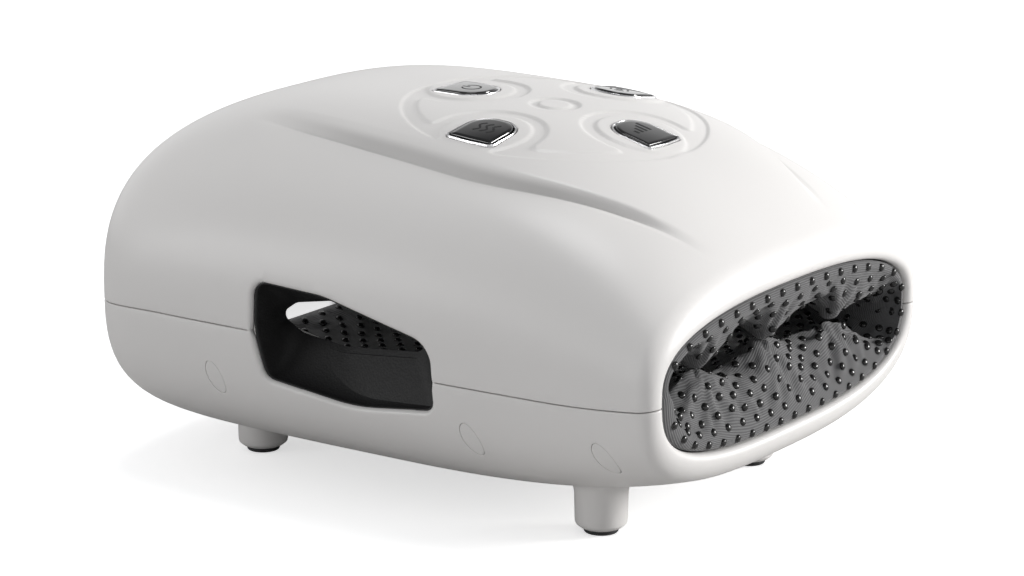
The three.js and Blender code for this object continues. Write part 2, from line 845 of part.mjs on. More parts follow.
function eachScrew(visit) {
  for (const [sideName, side] of bothSides) {
    for (const { place, inset, y, seat } of screwPlaces) {
      const x = formAt(sideForm, y, inset);
      visit({ name: `${sideName}_${place}`, x: side * x, y, seat });
    }
  }
}

// Legs
const legPlaces = bothSides.flatMap(([sideName, side]) => [
  { name: `front_${sideName}`, x: side * legSpan, y: -legReach },
  { name: `rear_${sideName}`, x: side * legSpan, y: legReach },
]);
const legBottom = footThick + seatGap;

function underHeight(x, y) {
  const halfWidth = formAt(sideForm, y, 0);
  const [, power] = sectionPowers(y);
  return middleHeight - formAt(underForm, y, 0) * (1 - (Math.abs(x) / halfWidth) ** power) ** (1 / power);
}

function legSpigotTop(x, y) {
  return underHeight(x, y) + legSpigotRise;
}

function addLegs() {
  const clearCase = caseSolid(-seatGap);
  for (const { name, x, y } of legPlaces) {
    const column = turnedUp(
      [
        [0, legBottom],
        [legRadius - legChamfer, legBottom],
        [legRadius, legBottom + legChamfer],
        [legTopRadius, legTopHeight],
        [0, legTopHeight],
      ],
      x,
      y,
      18,
    );
    const spigot = post(x, y, legSpigotRadius, legBottom + legChamfer, legSpigotTop(x, y));
    const studHole = post(x, y, footStudRadius + seatGap, -cutOverrun, footThick + footStudHeight + seatGap);
    addPiece(`leg_${name}`, column.subtract(clearCase).add(spigot).subtract(studHole), pearl);
    const foot = turnedUp(
      [
        [0, 0],
        [footRadius - footRound, 0],
        [footRadius, footRound],
        [footRadius, footThick],
        [footStudRadius, footThick],
        [footStudRadius, footThick + footStudHeight],
        [0, footThick + footStudHeight],
      ],
      x,
      y,
      16,
    );
    addPiece(`foot_pad_${name}`, foot, rubber);
  }
}

// The two shells
const batteryMiddleY = chamberRearAt + seatGap + bulkheadThick + batteryFrontGap + batteryDepth / 2;

function batteryRibs() {
  const ribs = [-1, 1].map((side) => {
    const x = side * batteryRibSpan;
    const half = batteryRibThick / 2;
    const reach = batteryDepth / 3;
    return boxBetween(
      at(x - half, batteryMiddleY - reach, 0),
      at(x + half, batteryMiddleY + reach, batteryBottom - seatGap),
    );
  });
  return ribs[0].add(ribs[1]);
}

function trayFeet() {
  const feet = [];
  for (const side of [-1, 1]) {
    for (const y of [trayFootFront, trayFootRear]) {
      feet.push(post(side * trayFootSpan, y, trayFootRadius, 0, middleHeight));
    }
  }
  return feet.reduce((all, foot) => all.add(foot));
}

function socketBox(grow, extraDepth) {
  const outer = rearSurface(0, socketMiddle) - socketRecess;
  const halfWidth = socketWidth / 2 + grow;
  const halfHeight = socketHeight / 2 + grow;
  return boxBetween(
    at(-halfWidth, outer - socketDepth, socketMiddle - halfHeight),
    at(halfWidth, outer + extraDepth, socketMiddle + halfHeight),
  );
}

// How far back the case reaches at a height on its middle line
function rearSurface(x, z) {
  const form = z < middleHeight ? underForm : topForm;
  const share = clamp(Math.abs(z - middleHeight) / form.full, 0, 1) ** form.round;
  return mix(form.at, bodyLength / 2, (1 - share) ** (1 / form.blunt));
}

function addShells() {
  const outer = caseSolid(0);
  const holes = thumbCuts(thumbOutline, thumbPassageEnd, bodyHalfWidth + cutOverrun);
  const wall = outer.subtract(hollowSolid(shellWall)).subtract(mouthCut()).subtract(holes);
  let upper = wall.intersect(seamHalf(1));
  let lower = wall.intersect(seamHalf(-1));
  const inside = caseSolid(shellWall / 2);
  const chamberRoom = chamberSolid(trayWall + seatGap);
  for (const sideX of [-1, 1]) {
    for (const sideY of [-1, 1]) {
      const x = (sideX * boardPostRing) / Math.SQRT2;
      const y = padCentreAt + (sideY * boardPostRing) / Math.SQRT2;
      const boardPost = post(x, y, boardPostRadius, buttonBoardTop + seatGap, middleHeight + bodyRise);
      upper = upper.add(boardPost.intersect(inside));
    }
  }
  for (const place of buttonPlaces) upper = upper.subtract(buttonCut(place));
  lower = lower.add(trayFeet().intersect(inside).subtract(chamberRoom));
  lower = lower.add(batteryRibs().intersect(inside));
  eachScrew(({ name, x, y, seat }) => {
    const seam = seamHeight(y);
    const boss = post(x, y, plugRadius + bossWall, bossBottom, seam - seatGap / 2)
      .intersect(outer)
      .subtract(chamberRoom);
    const recess = post(x, y, plugRadius + seatGap, 0, seat, 14);
    const bore = post(x, y, screwRadius + seatGap, 0, seam + cutOverrun);
    lower = lower.add(boss).subtract(recess).subtract(bore);
    const upperBoss = post(x, y, upperBossRadius, seam + seatGap / 2, seam + upperBossHeight)
      .intersect(inside)
      .subtract(chamberRoom);
    const pilot = post(x, y, screwRadius + seatGap, 0, seat + screwLength);
    upper = upper.add(upperBoss).subtract(pilot);
    addPiece(`screw_plug_${name}`, plugSolid(x, y, seat, outer), pearl);
    addPiece(`case_screw_${name}`, screwSolid(x, y, seat), steel);
  });
  for (const { x, y } of legPlaces) {
    lower = lower.subtract(post(x, y, legSpigotRadius + seatGap, 0, legSpigotTop(x, y) + seatGap));
  }
  lower = lower.subtract(socketBox(seatGap, cutOverrun));
  addPiece("upper_shell", upper, pearl);
  addPiece("lower_shell", lower, pearl);
}

function plugSolid(x, y, seat, outer) {
  const top = seat - screwHeadHeight - 2 * seatGap;
  return post(x, y, plugRadius, 0, top, 14).intersect(outer);
}

function screwSolid(x, y, seat) {
  const headTop = seat - seatGap;
  return turnedUp(
    [
      [0, headTop - screwHeadHeight],
      [screwHeadRadius, headTop - screwHeadHeight],
      [screwHeadRadius, headTop],
      [screwRadius, headTop],
      [screwRadius, headTop + screwLength - seatGap],
      [0, headTop + screwLength],
    ],
    x,
    y,
    12,
  );
}

// The hand chamber: an oval tunnel that widens behind the mouth ring
function chamberAt(y) {
  const front = -bodyLength / 2;
  const lining = rimInset + seatGap + ringWall;
  const share = ease((y - front - lipBack) / (chamberFullAt - front - lipBack));
  return {
    halfWidth: mix(frontHalfWidth - lining, chamberHalfWidth, share),
    rise: mix(frontRise - lining, chamberRise, share),
    drop: mix(frontDrop - lining, chamberDrop, share),
    topPower: mix(topPowerFront, chamberPower, share),
    underPower: mix(underPowerFront, chamberPower, share),
  };
}

function chamberRing(y, grow, steps = 28) {
  const { halfWidth, rise, drop, topPower, underPower } = chamberAt(y);
  const ring = [];
  for (let i = 0; i < steps; i += 1) {
    const angle = (2 * Math.PI * i) / steps;
    const up = Math.sin(angle) > 0;
    const power = up ? topPower : underPower;
    const x = (halfWidth + grow) * signedPower(Math.cos(angle), 2 / power);
    const z = ((up ? rise : drop) + grow) * signedPower(Math.sin(angle), 2 / power);
    ring.push(at(x, y, middleHeight + z));
  }
  return ring;
}

const ringRear = -bodyLength / 2 + lipBack + seatGap + ringFlangeThick;
const trayFront = ringRear + seatGap;

function chamberRows(grow) {
  return chamberRowShares.map((share) => chamberRing(mix(trayFront, chamberRearAt, share), grow));
}

function chamberSolid(grow) {
  return loft(chamberRows(grow));
}

function addMouthRing() {
  const front = -bodyLength / 2 + rimDepth;
  const flangeFront = -bodyLength / 2 + lipBack + seatGap;
  const outer = (y) => mouthRing(y, seatGap);
  const flange = (y) => mouthRing(y, -ringFlangeReach);
  const inner = (y) => mouthRing(y, seatGap + ringWall);
  const rings = [
    outer(front),
    outer(flangeFront),
    flange(flangeFront),
    flange(ringRear),
    inner(ringRear),
    inner(front),
  ];
  addPiece("mouth_ring", loft(rings, true), blackPlastic);
}

function addTrays() {
  const outer = chamberRows(trayWall);
  const inner = chamberRows(0).reverse();
  const tube = loft([...outer, ...inner], true);
  const slot = grown(slotOutline, ductWall + seatGap);
  const open = tube.subtract(thumbCuts(slot, thumbPassageEnd, bodyHalfWidth));
  const reach = bodyLength;
  const split = meetHeight;
  const half = seatGap / 2;
  const above = boxBetween(at(-reach, -reach, split + half), at(reach, reach, split + reach));
  const below = boxBetween(at(-reach, -reach, split - reach), at(reach, reach, split - half));
  addPiece("upper_tray", open.intersect(above), innerPlastic);
  addPiece("lower_tray", open.intersect(below), innerPlastic);
}

// Air cushions: each fills its tray and swells towards the other; at the mouth they meet in pinches
// with finger tunnels between them, and farther in they leave room for the hand
function cushionSurface(x, y, side) {
  const towardPinch = Math.cos((Math.PI * x) / pinchPitch) ** 2;
  const tunnel = side > 0 ? tunnelRise : tunnelDrop;
  const front = pinchGap + tunnel * (1 - towardPinch);
  const share = ease((y - pinchAt) / pinchFade);
  return mix(front, handHalfHeight, share);
}

function cushionPoints(side, lean) {
  const columns = 24;
  const rear = chamberRearAt - cushionGap;
  const rowPlaces = [
    ...mouthRowShares.map((share) => mix(cushionFrontAt, trayFront, share)),
    ...chamberRowShares.map((share) => Math.min(mix(trayFront, chamberRearAt, share), rear)),
  ];
  const under = [];
  const over = [];
  for (const y of rowPlaces) {
    const { halfWidth, rise, drop, topPower, underPower } = chamberAt(y);
    const power = side > 0 ? topPower : underPower;
    const depth = (side > 0 ? rise : drop) - cushionGap - lean;
    const swell = Math.sin((Math.PI / 2) * clamp((y - cushionFrontAt) / (pinchAt - cushionFrontAt), 0, 1));
    for (let c = 0; c <= columns; c += 1) {
      const across = Math.sin((Math.PI / 2) * ((2 * c) / columns - 1));
      const arch = (1 - Math.abs(across) ** power) ** (1 / power);
      const wall = Math.max(side * (middleHeight - meetHeight) + depth * arch, pinchGap);
      const x = (halfWidth - cushionGap) * across;
      const room = wall - cushionSurface(x, y, side);
      const soft = (room + Math.hypot(room, cushionSoftness)) / 2;
      const edge = Math.min(cushionEdge, wall - pinchGap) * Math.min(1, arch * 2);
      const thick = mix(edge, Math.max(soft, edge), swell) * Math.min(1, arch * 3);
      under.push(at(x, y, meetHeight + side * wall));
      over.push(at(x, y, meetHeight + side * (wall - thick)));
    }
  }
  return { under, over, columns, rows: rowPlaces.length };
}

function cushionSolid(side, lean) {
  const { under, over, columns, rows } = cushionPoints(side, lean);
  const points = [...under, ...over];
  const count = under.length;
  const triangles = [];
  const quad = (a, b, c, d) => triangles.push(a, b, c, a, c, d);
  const spot = (r, c) => r * (columns + 1) + c;
  for (let r = 0; r + 1 < rows; r += 1) {
    for (let c = 0; c < columns; c += 1) {
      quad(spot(r, c), spot(r, c + 1), spot(r + 1, c + 1), spot(r + 1, c));
      quad(count + spot(r, c), count + spot(r + 1, c), count + spot(r + 1, c + 1), count + spot(r, c + 1));
    }
  }
  for (let c = 0; c < columns; c += 1) {
    quad(spot(0, c), count + spot(0, c), count + spot(0, c + 1), spot(0, c + 1));
    const end = rows - 1;
    quad(spot(end, c), spot(end, c + 1), count + spot(end, c + 1), count + spot(end, c));
  }
  const geometry = new THREE.BufferGeometry();
  const flat = points.flatMap((p) => [p.x, p.y, p.z]);
  geometry.setAttribute("position", new THREE.Float32BufferAttribute(flat, 3));
  geometry.setIndex(triangles);
  const passage = thumbCuts(grown(slotOutline, ductWall), thumbPassageEnd, bodyHalfWidth);
  return solidOf(geometry).subtract(passage);
}

function addCushions() {
  addPiece("upper_cushion", cushionSolid(1, 0), knit);
  addPiece("lower_cushion", cushionSolid(-1, filmRoom), knit);
}

// Heating film: a thin sheet on the floor of the lower tray, under the lower cushion
function addHeatingFilm() {
  const sheet = (grow) => {
    const points = [];
    const steps = 12;
    for (let i = 0; i <= steps; i += 1) {
      const x = mix(-filmHalfWidth, filmHalfWidth, i / steps);
      const share = Math.abs(x) / chamberHalfWidth;
      const drop = (chamberDrop - grow) * (1 - share ** chamberPower) ** (1 / chamberPower);
      points.push([x, middleHeight - drop]);
    }
    return points;
  };
  const section = [...sheet(seatGap), ...sheet(seatGap + filmThick).reverse()];
  const ringAt = (y) => section.map(([x, z]) => at(x, y, z));
  const front = ringAt(filmFrontAt);
  const rear = ringAt(filmRearAt);
  const half = front.length / 2;
  const points = [...front, ...rear];
  const around = front.length;
  const triangles = [];
  for (let i = 0; i < around; i += 1) {
    const j = (i + 1) % around;
    triangles.push(i, j, around + j, i, around + j, around + i);
  }
  for (let i = 0; i + 1 < half; i += 1) {
    const j = around - 1 - i;
    triangles.push(i, j, j - 1, i, j - 1, i + 1);
    triangles.push(around + i, around + j - 1, around + j, around + i, around + i + 1, around + j - 1);
  }
  const geometry = new THREE.BufferGeometry();
  const flat = points.flatMap((p) => [p.x, p.y, p.z]);
  geometry.setAttribute("position", new THREE.Float32BufferAttribute(flat, 3));
  geometry.setIndex(triangles);
  addPiece("heating_film", solidOf(geometry), amberFilm);
}

// Rear bulkhead: closes the hand chamber and carries the pump, the valves and the main board
const bulkheadFront = chamberRearAt + seatGap;
const bulkheadRear = bulkheadFront + bulkheadThick;
const motorY = bulkheadRear + shelfDepth / 2;
const motorZ = shelfTop + seatGap + headRadius;
const valveX = manifoldLeft + manifoldWidth + seatGap + valveWidth / 2;
const valveFront = bulkheadRear + seatGap;
const valveY = valveFront + valveDepth / 2;
const lowerValveBottom = manifoldBottom + valveMargin;
const upperValveBottom = manifoldBottom + manifoldHeight - valveMargin - valveHeight;
const hoseUpZ = upperValveBottom + valveHeight + hoseBend;
const hoseDownZ = lowerValveBottom - hoseBend;
const hosePassX = chamberHalfWidth - hoseSideRoom;

function standoffPlaces() {
  const places = [];
  for (const x of [mainBoardLeft + standoffInset, mainBoardRight - standoffInset]) {
    for (const z of [mainBoardBottom + standoffInset, mainBoardBottom + mainBoardHeight - standoffInset]) {
      places.push([x, z]);
    }
  }
  return places;
}

function addBulkhead() {
  const inside = hollowSolid(shellWall + bulkheadGap);
  let solid = boxBetween(
    at(-bulkheadHalfWidth, bulkheadFront, 0),
    at(bulkheadHalfWidth, bulkheadRear, bulkheadTop),
  ).intersect(inside);
  const shelfRear = bulkheadRear + shelfDepth;
  const embed = bulkheadThick / 2;
  const shelf = boxBetween(
    at(shelfLeft, bulkheadRear - embed, shelfTop - shelfThick),
    at(shelfRight, shelfRear, shelfTop),
  );
  solid = solid.add(shelf);
  for (const side of [-1, 1]) {
    const inner = motorY + side * (headRadius + seatGap);
    const outer = inner + side * fenceThick;
    solid = solid.add(
      boxBetween(
        at(shelfLeft, Math.min(inner, outer), shelfTop - shelfThick / 2),
        at(shelfRight, Math.max(inner, outer), shelfTop + fenceHeight),
      ),
    );
  }
  for (const [x, z] of standoffPlaces()) {
    solid = solid.add(rod(x, z, standoffRadius, bulkheadRear - embed, bulkheadRear + standoffLength));
  }
  for (const z of [hoseUpZ, hoseDownZ]) {
    const passage = rod(hosePassX, z, hoseRadius + seatGap, bulkheadFront - embed, bulkheadRear + embed);
    solid = solid.subtract(passage);
  }
  addPiece("rear_bulkhead", solid, innerPlastic);
}

function addMainBoard() {
  const front = bulkheadRear + standoffLength + seatGap;
  const rear = front + boardThick;
  const middle = (mainBoardLeft + mainBoardRight) / 2;
  const top = mainBoardBottom + mainBoardHeight;
  const embed = boardThick / 2;
  const plate = boxBetween(at(mainBoardLeft, front, mainBoardBottom), at(mainBoardRight, rear, top));
  const chipLow = mainBoardBottom + (mainBoardHeight - chipWidth) / 2;
  const chip = boxBetween(
    at(middle - chipWidth / 2, rear - embed, chipLow),
    at(middle + chipWidth / 2, rear + chipThick, chipLow + chipWidth),
  );
  const plug = boxBetween(
    at(mainBoardLeft + 3 * standoffInset, rear - embed, top - 2 * plugHeight),
    at(mainBoardLeft + 3 * standoffInset + plugWidth, rear + plugHeight, top - plugHeight),
  );
  const capacitor = rod(
    mainBoardRight - 3 * standoffInset,
    mainBoardBottom + mainBoardHeight / 2,
    plugHeight,
    rear - embed,
    rear + capacitorHeight,
  );
  addPiece("main_board", plate.add(chip).add(plug).add(capacitor), board);
}

function addBattery() {
  const half = batteryThick / 2;
  const low = batteryBottom + half;
  const reach = batteryDepth / 2 - half;
  const outline = [];
  const steps = 8;
  for (const [end, start] of [
    [1, -Math.PI / 2],
    [-1, Math.PI / 2],
  ]) {
    for (let i = 0; i <= steps; i += 1) {
      const angle = start + (Math.PI * i) / steps;
      const y = batteryMiddleY + end * reach + half * Math.cos(angle);
      outline.push(new THREE.Vector2(y, low + half * Math.sin(angle)));
    }
  }
  addPiece("battery_pack", prismAcross(outline, -batteryLength / 2, batteryLength / 2), wrap);
}

// Air pump: motor, rotor with its crank, and head
const motorRight = motorLeft + motorLength;
const headLeft = motorRight + seatGap;
const headRight = headLeft + headLength;

function addPump() {
  const bore = shaftRadius + shaftGap;
  const can = turnedAlongX(
    [
      [bore, motorLeft],
      [motorRadius - motorShoulder, motorLeft],
      [motorRadius, motorLeft + motorShoulder],
      [motorRadius, motorRight],
      [motorBossRadius, motorRight],
      [motorBossRadius, motorRight + motorBossLength],
      [bore, motorRight + motorBossLength],
      [bore, motorLeft],
    ],
    motorY,
    motorZ,
    20,
  );
  addPiece("pump_motor", can, steel);
  const crankLeft = motorRight + motorBossLength + crankGap;
  const shaft = turnedAlongX(
    [
      [0, motorLeft - shaftRadius],
      [shaftRadius, motorLeft - shaftRadius],
      [shaftRadius, crankLeft + crankLength / 2],
      [0, crankLeft + crankLength / 2],
    ],
    motorY,
    motorZ,
    12,
  );
  const crank = turnedAlongX(
    [
      [0, crankLeft],
      [crankRadius, crankLeft],
      [crankRadius, crankLeft + crankLength],
      [0, crankLeft + crankLength],
    ],
    motorY,
    motorZ - crankOffset,
    16,
  );
  addPiece("pump_rotor", shaft.add(crank), steel);
  const cavityEnd = headRight - headEnd;
  const head = turnedAlongX(
    [
      [headRadius - headWall, headLeft],
      [headRadius, headLeft],
      [headRadius, headRight],
      [nozzleRadius, headRight],
      [nozzleRadius, headRight + nozzleLength],
      [0, headRight + nozzleLength],
      [0, cavityEnd],
      [headRadius - headWall, cavityEnd],
      [headRadius - headWall, headLeft],
    ],
    motorY,
    motorZ,
    20,
  );
  addPiece("pump_head", head, blackPlastic);
}

// Valves: two solenoids on a manifold, each with a sprung plunger at its rear
function addValves() {
  addPiece(
    "air_manifold",
    boxBetween(
      at(manifoldLeft, valveFront, manifoldBottom),
      at(manifoldLeft + manifoldWidth, valveFront + manifoldDepth, manifoldBottom + manifoldHeight),
    ),
    innerPlastic,
  );
  for (const [name, bottom] of [
    ["upper", upperValveBottom],
    ["lower", lowerValveBottom],
  ]) {
    const rear = valveFront + valveDepth;
    const middle = bottom + valveHeight / 2;
    const plungerFront = rear + plungerProud - plungerLength;
    const holeEnd = plungerFront - plungerTravel - slideGap;
    const hole = rod(valveX, middle, plungerRadius + slideGap, holeEnd, rear + cutOverrun);
    const body = boxBetween(
      at(valveX - valveWidth / 2, valveFront, bottom),
      at(valveX + valveWidth / 2, rear, bottom + valveHeight),
    );
    const plunger = rod(valveX, middle, plungerRadius, plungerFront, rear + plungerProud);
    addPiece(`${name}_valve_body`, body.subtract(hole), steel);
    addPiece(`${name}_valve_plunger`, plunger, steel);
  }
}

// Air hoses
function hoseSolid(points) {
  const path = new THREE.CatmullRomCurve3(points, false, "centripetal");
  const circle = new THREE.EllipseCurve(0, 0, hoseRadius, hoseRadius).getPoints(8).slice(1);
  const geometry = new THREE.ExtrudeGeometry(new THREE.Shape(circle), {
    steps: 12,
    extrudePath: path,
    bevelEnabled: false,
  });
  return solidOf(geometry);
}

function addHoses() {
  const nozzleEnd = headRight + nozzleLength;
  const manifoldY = valveFront + manifoldDepth / 2;
  const manifoldZ = manifoldBottom + manifoldHeight / 2;
  const cushionRear = chamberRearAt - cushionGap + seatGap;
  const straight = hoseRadius;
  addPiece(
    "supply_hose",
    hoseSolid([
      at(nozzleEnd + seatGap, motorY, motorZ),
      at(nozzleEnd + seatGap + straight / 2, motorY, motorZ),
      at(nozzleEnd + seatGap + straight, motorY, motorZ),
      at((nozzleEnd + manifoldLeft) / 2, (motorY + manifoldY) / 2, (motorZ + manifoldZ) / 2),
      at(manifoldLeft - seatGap - straight, manifoldY, manifoldZ),
      at(manifoldLeft - seatGap - straight / 2, manifoldY, manifoldZ),
      at(manifoldLeft - seatGap, manifoldY, manifoldZ),
    ]),
    hoseRubber,
  );
  for (const [name, start, z, turn] of [
    ["upper", upperValveBottom + valveHeight + seatGap, hoseUpZ, 1],
    ["lower", lowerValveBottom - seatGap, hoseDownZ, -1],
  ]) {
    addPiece(
      `${name}_air_hose`,
      hoseSolid([
        at(valveX, valveY, start),
        at(valveX, valveY, start + (turn * hoseBend) / 3),
        at(mix(valveX, hosePassX, 0.3), valveY - hoseBend / 4, z - (turn * hoseBend) / 5),
        at(hosePassX, valveY - hoseBend / 1.3, z),
        at(hosePassX, bulkheadRear, z),
        at(hosePassX, cushionRear, z),
      ]),
      hoseRubber,
    );
  }
}

// Charging socket in the rear wall
function addSocket() {
  const outer = rearSurface(0, socketMiddle) - socketRecess;
  const halfWidth = socketWidth / 2 - socketWall;
  const halfHeight = socketHeight / 2 - socketWall;
  const mouth = boxBetween(
    at(-halfWidth, outer - socketDepth + socketFloor, socketMiddle - halfHeight),
    at(halfWidth, outer + cutOverrun, socketMiddle + halfHeight),
  );
  addPiece("charging_socket", socketBox(0, 0).subtract(mouth), steel);
}

addShells();
addLegs();
addPiece("thumb_duct_left", ductSolid(-1), blackPlastic);
addPiece("thumb_duct_right", ductSolid(1), blackPlastic);
addMouthRing();
addTrays();
addCushions();
addHeatingFilm();
addButtons();
addButtonBoard();
addBulkhead();
addMainBoard();
addBattery();
addPump();
addValves();
addHoses();
addSocket();

export default massager;
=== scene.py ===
# %% [markdown]
# # Hand massager: the looks
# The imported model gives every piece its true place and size. This notebook builds the pieces that
# show, each from the same measures, with the roundings, folds and finishes of the real thing.
# All shapes are worked out in millimetres with numpy, and turned into metres when a mesh is made.

# %% Load the frame
import json
import math

import bpy
import numpy as np
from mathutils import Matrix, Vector

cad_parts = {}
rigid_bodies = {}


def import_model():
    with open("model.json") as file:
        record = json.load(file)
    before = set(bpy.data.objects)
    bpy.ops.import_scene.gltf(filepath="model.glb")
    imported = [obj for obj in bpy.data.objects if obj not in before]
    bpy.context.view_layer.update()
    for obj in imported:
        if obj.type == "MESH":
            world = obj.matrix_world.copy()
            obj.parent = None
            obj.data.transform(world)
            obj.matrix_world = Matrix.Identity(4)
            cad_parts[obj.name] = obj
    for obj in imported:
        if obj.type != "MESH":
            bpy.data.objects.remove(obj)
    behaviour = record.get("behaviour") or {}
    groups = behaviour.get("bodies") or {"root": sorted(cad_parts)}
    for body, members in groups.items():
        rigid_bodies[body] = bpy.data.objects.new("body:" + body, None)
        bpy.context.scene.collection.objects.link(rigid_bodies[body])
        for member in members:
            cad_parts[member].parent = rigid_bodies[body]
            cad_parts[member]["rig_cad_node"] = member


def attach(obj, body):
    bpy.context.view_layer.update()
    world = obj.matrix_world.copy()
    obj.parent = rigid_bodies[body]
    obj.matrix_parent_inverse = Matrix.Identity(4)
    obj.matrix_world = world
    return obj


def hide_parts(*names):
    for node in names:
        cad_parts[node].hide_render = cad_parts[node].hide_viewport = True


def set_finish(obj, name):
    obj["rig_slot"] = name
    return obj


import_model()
for item in list(bpy.data.objects):
    if item.type in ("MESH", "LIGHT", "CAMERA") and "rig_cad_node" not in item:
        bpy.data.objects.remove(item)
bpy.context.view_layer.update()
MM = 0.001

# %% [markdown]
# ## Small tools
# The form of the case is a set of formulas, so a few helpers that mix, ease and bend numbers are
# used all through. A Python loop could do the same point by point, but a mesh here has up to a
# hundred thousand points, so each helper takes a whole numpy array at once.

# %% Number helpers
def mix(low, high, share):
    return low + (high - low) * share


def ease(share):
    s = np.clip(share, 0, 1)
    return s * s * (3 - 2 * s)


def signed_power(value, power):
    return np.sign(value) * np.abs(value) ** power


def unit(vectors):
    length = np.linalg.norm(vectors, axis=-1, keepdims=True)
    return vectors / np.maximum(length, 1e-12)


print("ease(0.25) is", ease(0.25))

# %% [markdown]
# ## Meshes from arrays
# Every piece that shows becomes one mesh. `from_pydata` would be the simple way, but it is slow for
# big meshes, so the arrays are written with `foreach_set`. A piece is given smooth shading, and an
# edge sharper than a named angle stays crisp.

# %% Mesh makers
def make_piece(name, points, faces, sharp=None):
    mesh = bpy.data.meshes.new(name)
    points = np.asarray(points, float) * MM
    faces = np.asarray(faces, np.int32)
    corners = faces.shape[1]
    mesh.vertices.add(len(points))
    mesh.vertices.foreach_set("co", points.ravel())
    mesh.loops.add(faces.size)
    mesh.loops.foreach_set("vertex_index", faces.ravel())
    mesh.polygons.add(len(faces))
    mesh.polygons.foreach_set("loop_start", np.arange(0, faces.size, corners, dtype=np.int32))
    mesh.update(calc_edges=True)
    mesh.validate()
    mesh.polygons.foreach_set("use_smooth", np.ones(len(mesh.polygons), bool))
    if sharp is not None:
        mesh.set_sharp_from_angle(angle=math.radians(sharp))
    piece = bpy.data.objects.new(name, mesh)
    bpy.context.scene.collection.objects.link(piece)
    return piece


def strip_faces(rows, columns, closed=False):
    """Triangles of a grid of points; closed joins its last column to its first."""
    steps = columns if closed else columns - 1
    r, c = np.meshgrid(np.arange(rows - 1), np.arange(steps), indexing="ij")
    here, beside = r * columns + c, r * columns + (c + 1) % columns
    ahead, across = here + columns, beside + columns
    first = np.stack([here, beside, across], -1).reshape(-1, 3)
    second = np.stack([here, across, ahead], -1).reshape(-1, 3)
    return np.concatenate([first, second])


def fan_faces(ring, middle, flip=False):
    ring = np.asarray(ring)
    onward = np.roll(ring, -1)
    fan = np.stack([ring, onward, np.full(len(ring), middle)], -1)
    return fan[:, ::-1] if flip else fan


print("a grid of 3 by 3 points has", len(strip_faces(3, 3)), "triangles")

# %% [markdown]
# ## The form of the case
# Every section across the case is a superellipse: rounder than a box, squarer than an ellipse. Its
# half width, its rise above the middle and its drop below it each follow a curve from the mouth to
# the tail. The same numbers drive the solid model, so the skin lies exactly on it.

# %% Sizes of the case
BODY_LENGTH = 210.0
FRONT = -BODY_LENGTH / 2
REAR = BODY_LENGTH / 2
MIDDLE_HEIGHT = 54.45
SIDE_FORM = dict(full=86.7, at=60.0, front=73.8, blunt=5, rounding=3.38, easing=1.3)
TOP_FORM = dict(full=61.1, at=9.3, front=25.9, blunt=2.97, rounding=5, easing=3.02)
UNDER_FORM = dict(full=47.0, at=31.7, front=31.8, blunt=4.75, rounding=4.8, easing=3.64)
TOP_POWERS = (2.81, 2.56)
UNDER_POWERS = (2.79, 2.93)


def form_at(form, y, inset=0.0):
    rear_end = REAR - inset
    behind = np.clip((y - form["at"]) / (rear_end - form["at"]), 0, 1)
    ahead = np.clip((form["at"] - y) / (form["at"] + REAR), 0, None)
    closing = (form["full"] - inset) * (1 - behind ** form["blunt"]) ** (1 / form["rounding"])
    opening = form["full"] - inset - (form["full"] - form["front"]) * ahead ** form["easing"]
    return np.where(y > form["at"], closing, opening)


def power_at(powers, y):
    return mix(powers[0], powers[1], np.clip(-y / REAR, 0, 1))


case_height = TOP_FORM["full"] + UNDER_FORM["full"]
print("the case is", 2 * SIDE_FORM["full"], "mm wide and", case_height, "mm high")

# %% [markdown]
# ## The shoulder crease
# A styling line runs along each side of the top: the plateau dips softly towards it, and ends at a
# crisp lower edge. It could be a sculpted stroke or a displacement map, but as part of the formula
# it stays exact, and points can be laid along it so that its edge is sharp.

# %% Crease
CREASE_REACH = 56.7
CREASE_WIDEST = -23.0
CREASE_REAR = dict(pull=11.5, run=130.0)
CREASE_FRONT = dict(pull=36.0, run=120.0)
CREASE_ENDS = (-98.0, 60.0)
CREASE_FADE = 28.0
CREASE_BAND = (9.0, 4.5)
CREASE_NARROW_RUN = 70.0
CREASE_DEPTH = 3.3
CREASE_POWER = 1.6
CREASE_HOLLOW = 0.5
CREASE_EDGE = 1.2
CREASE_EDGE_SHARE = 0.34


def crease_at(y):
    """At each y: how far out the foot and the top of the crease lie, and its depth."""
    rear_pull = CREASE_REAR["pull"] * ease((y - CREASE_WIDEST) / CREASE_REAR["run"])
    front_pull = CREASE_FRONT["pull"] * ease((CREASE_WIDEST - y) / CREASE_FRONT["run"])
    fade = ease((CREASE_ENDS[1] - y) / CREASE_FADE) * ease((y - CREASE_ENDS[0]) / CREASE_FADE)
    band = mix(*CREASE_BAND, ease(-y / CREASE_NARROW_RUN))
    low = CREASE_REACH - rear_pull - front_pull
    return low, low - band, CREASE_DEPTH * fade


def crease_dent(y, across, half_width):
    low, high, depth = crease_at(y)
    share = np.clip((across - high) / (low - high), 0, 1)
    on_band = mix(share**CREASE_POWER, ease(share), CREASE_HOLLOW)
    beyond = np.clip((half_width - across) / (half_width - low), 0, 1) ** 2
    quick = 1 - ease((across - low) / CREASE_EDGE)
    after = beyond * mix(1 - CREASE_EDGE_SHARE, 1, quick)
    return depth * np.where(across < low, on_band, after)


print("the crease is", CREASE_DEPTH, "mm deep and up to", CREASE_BAND[0], "mm wide")
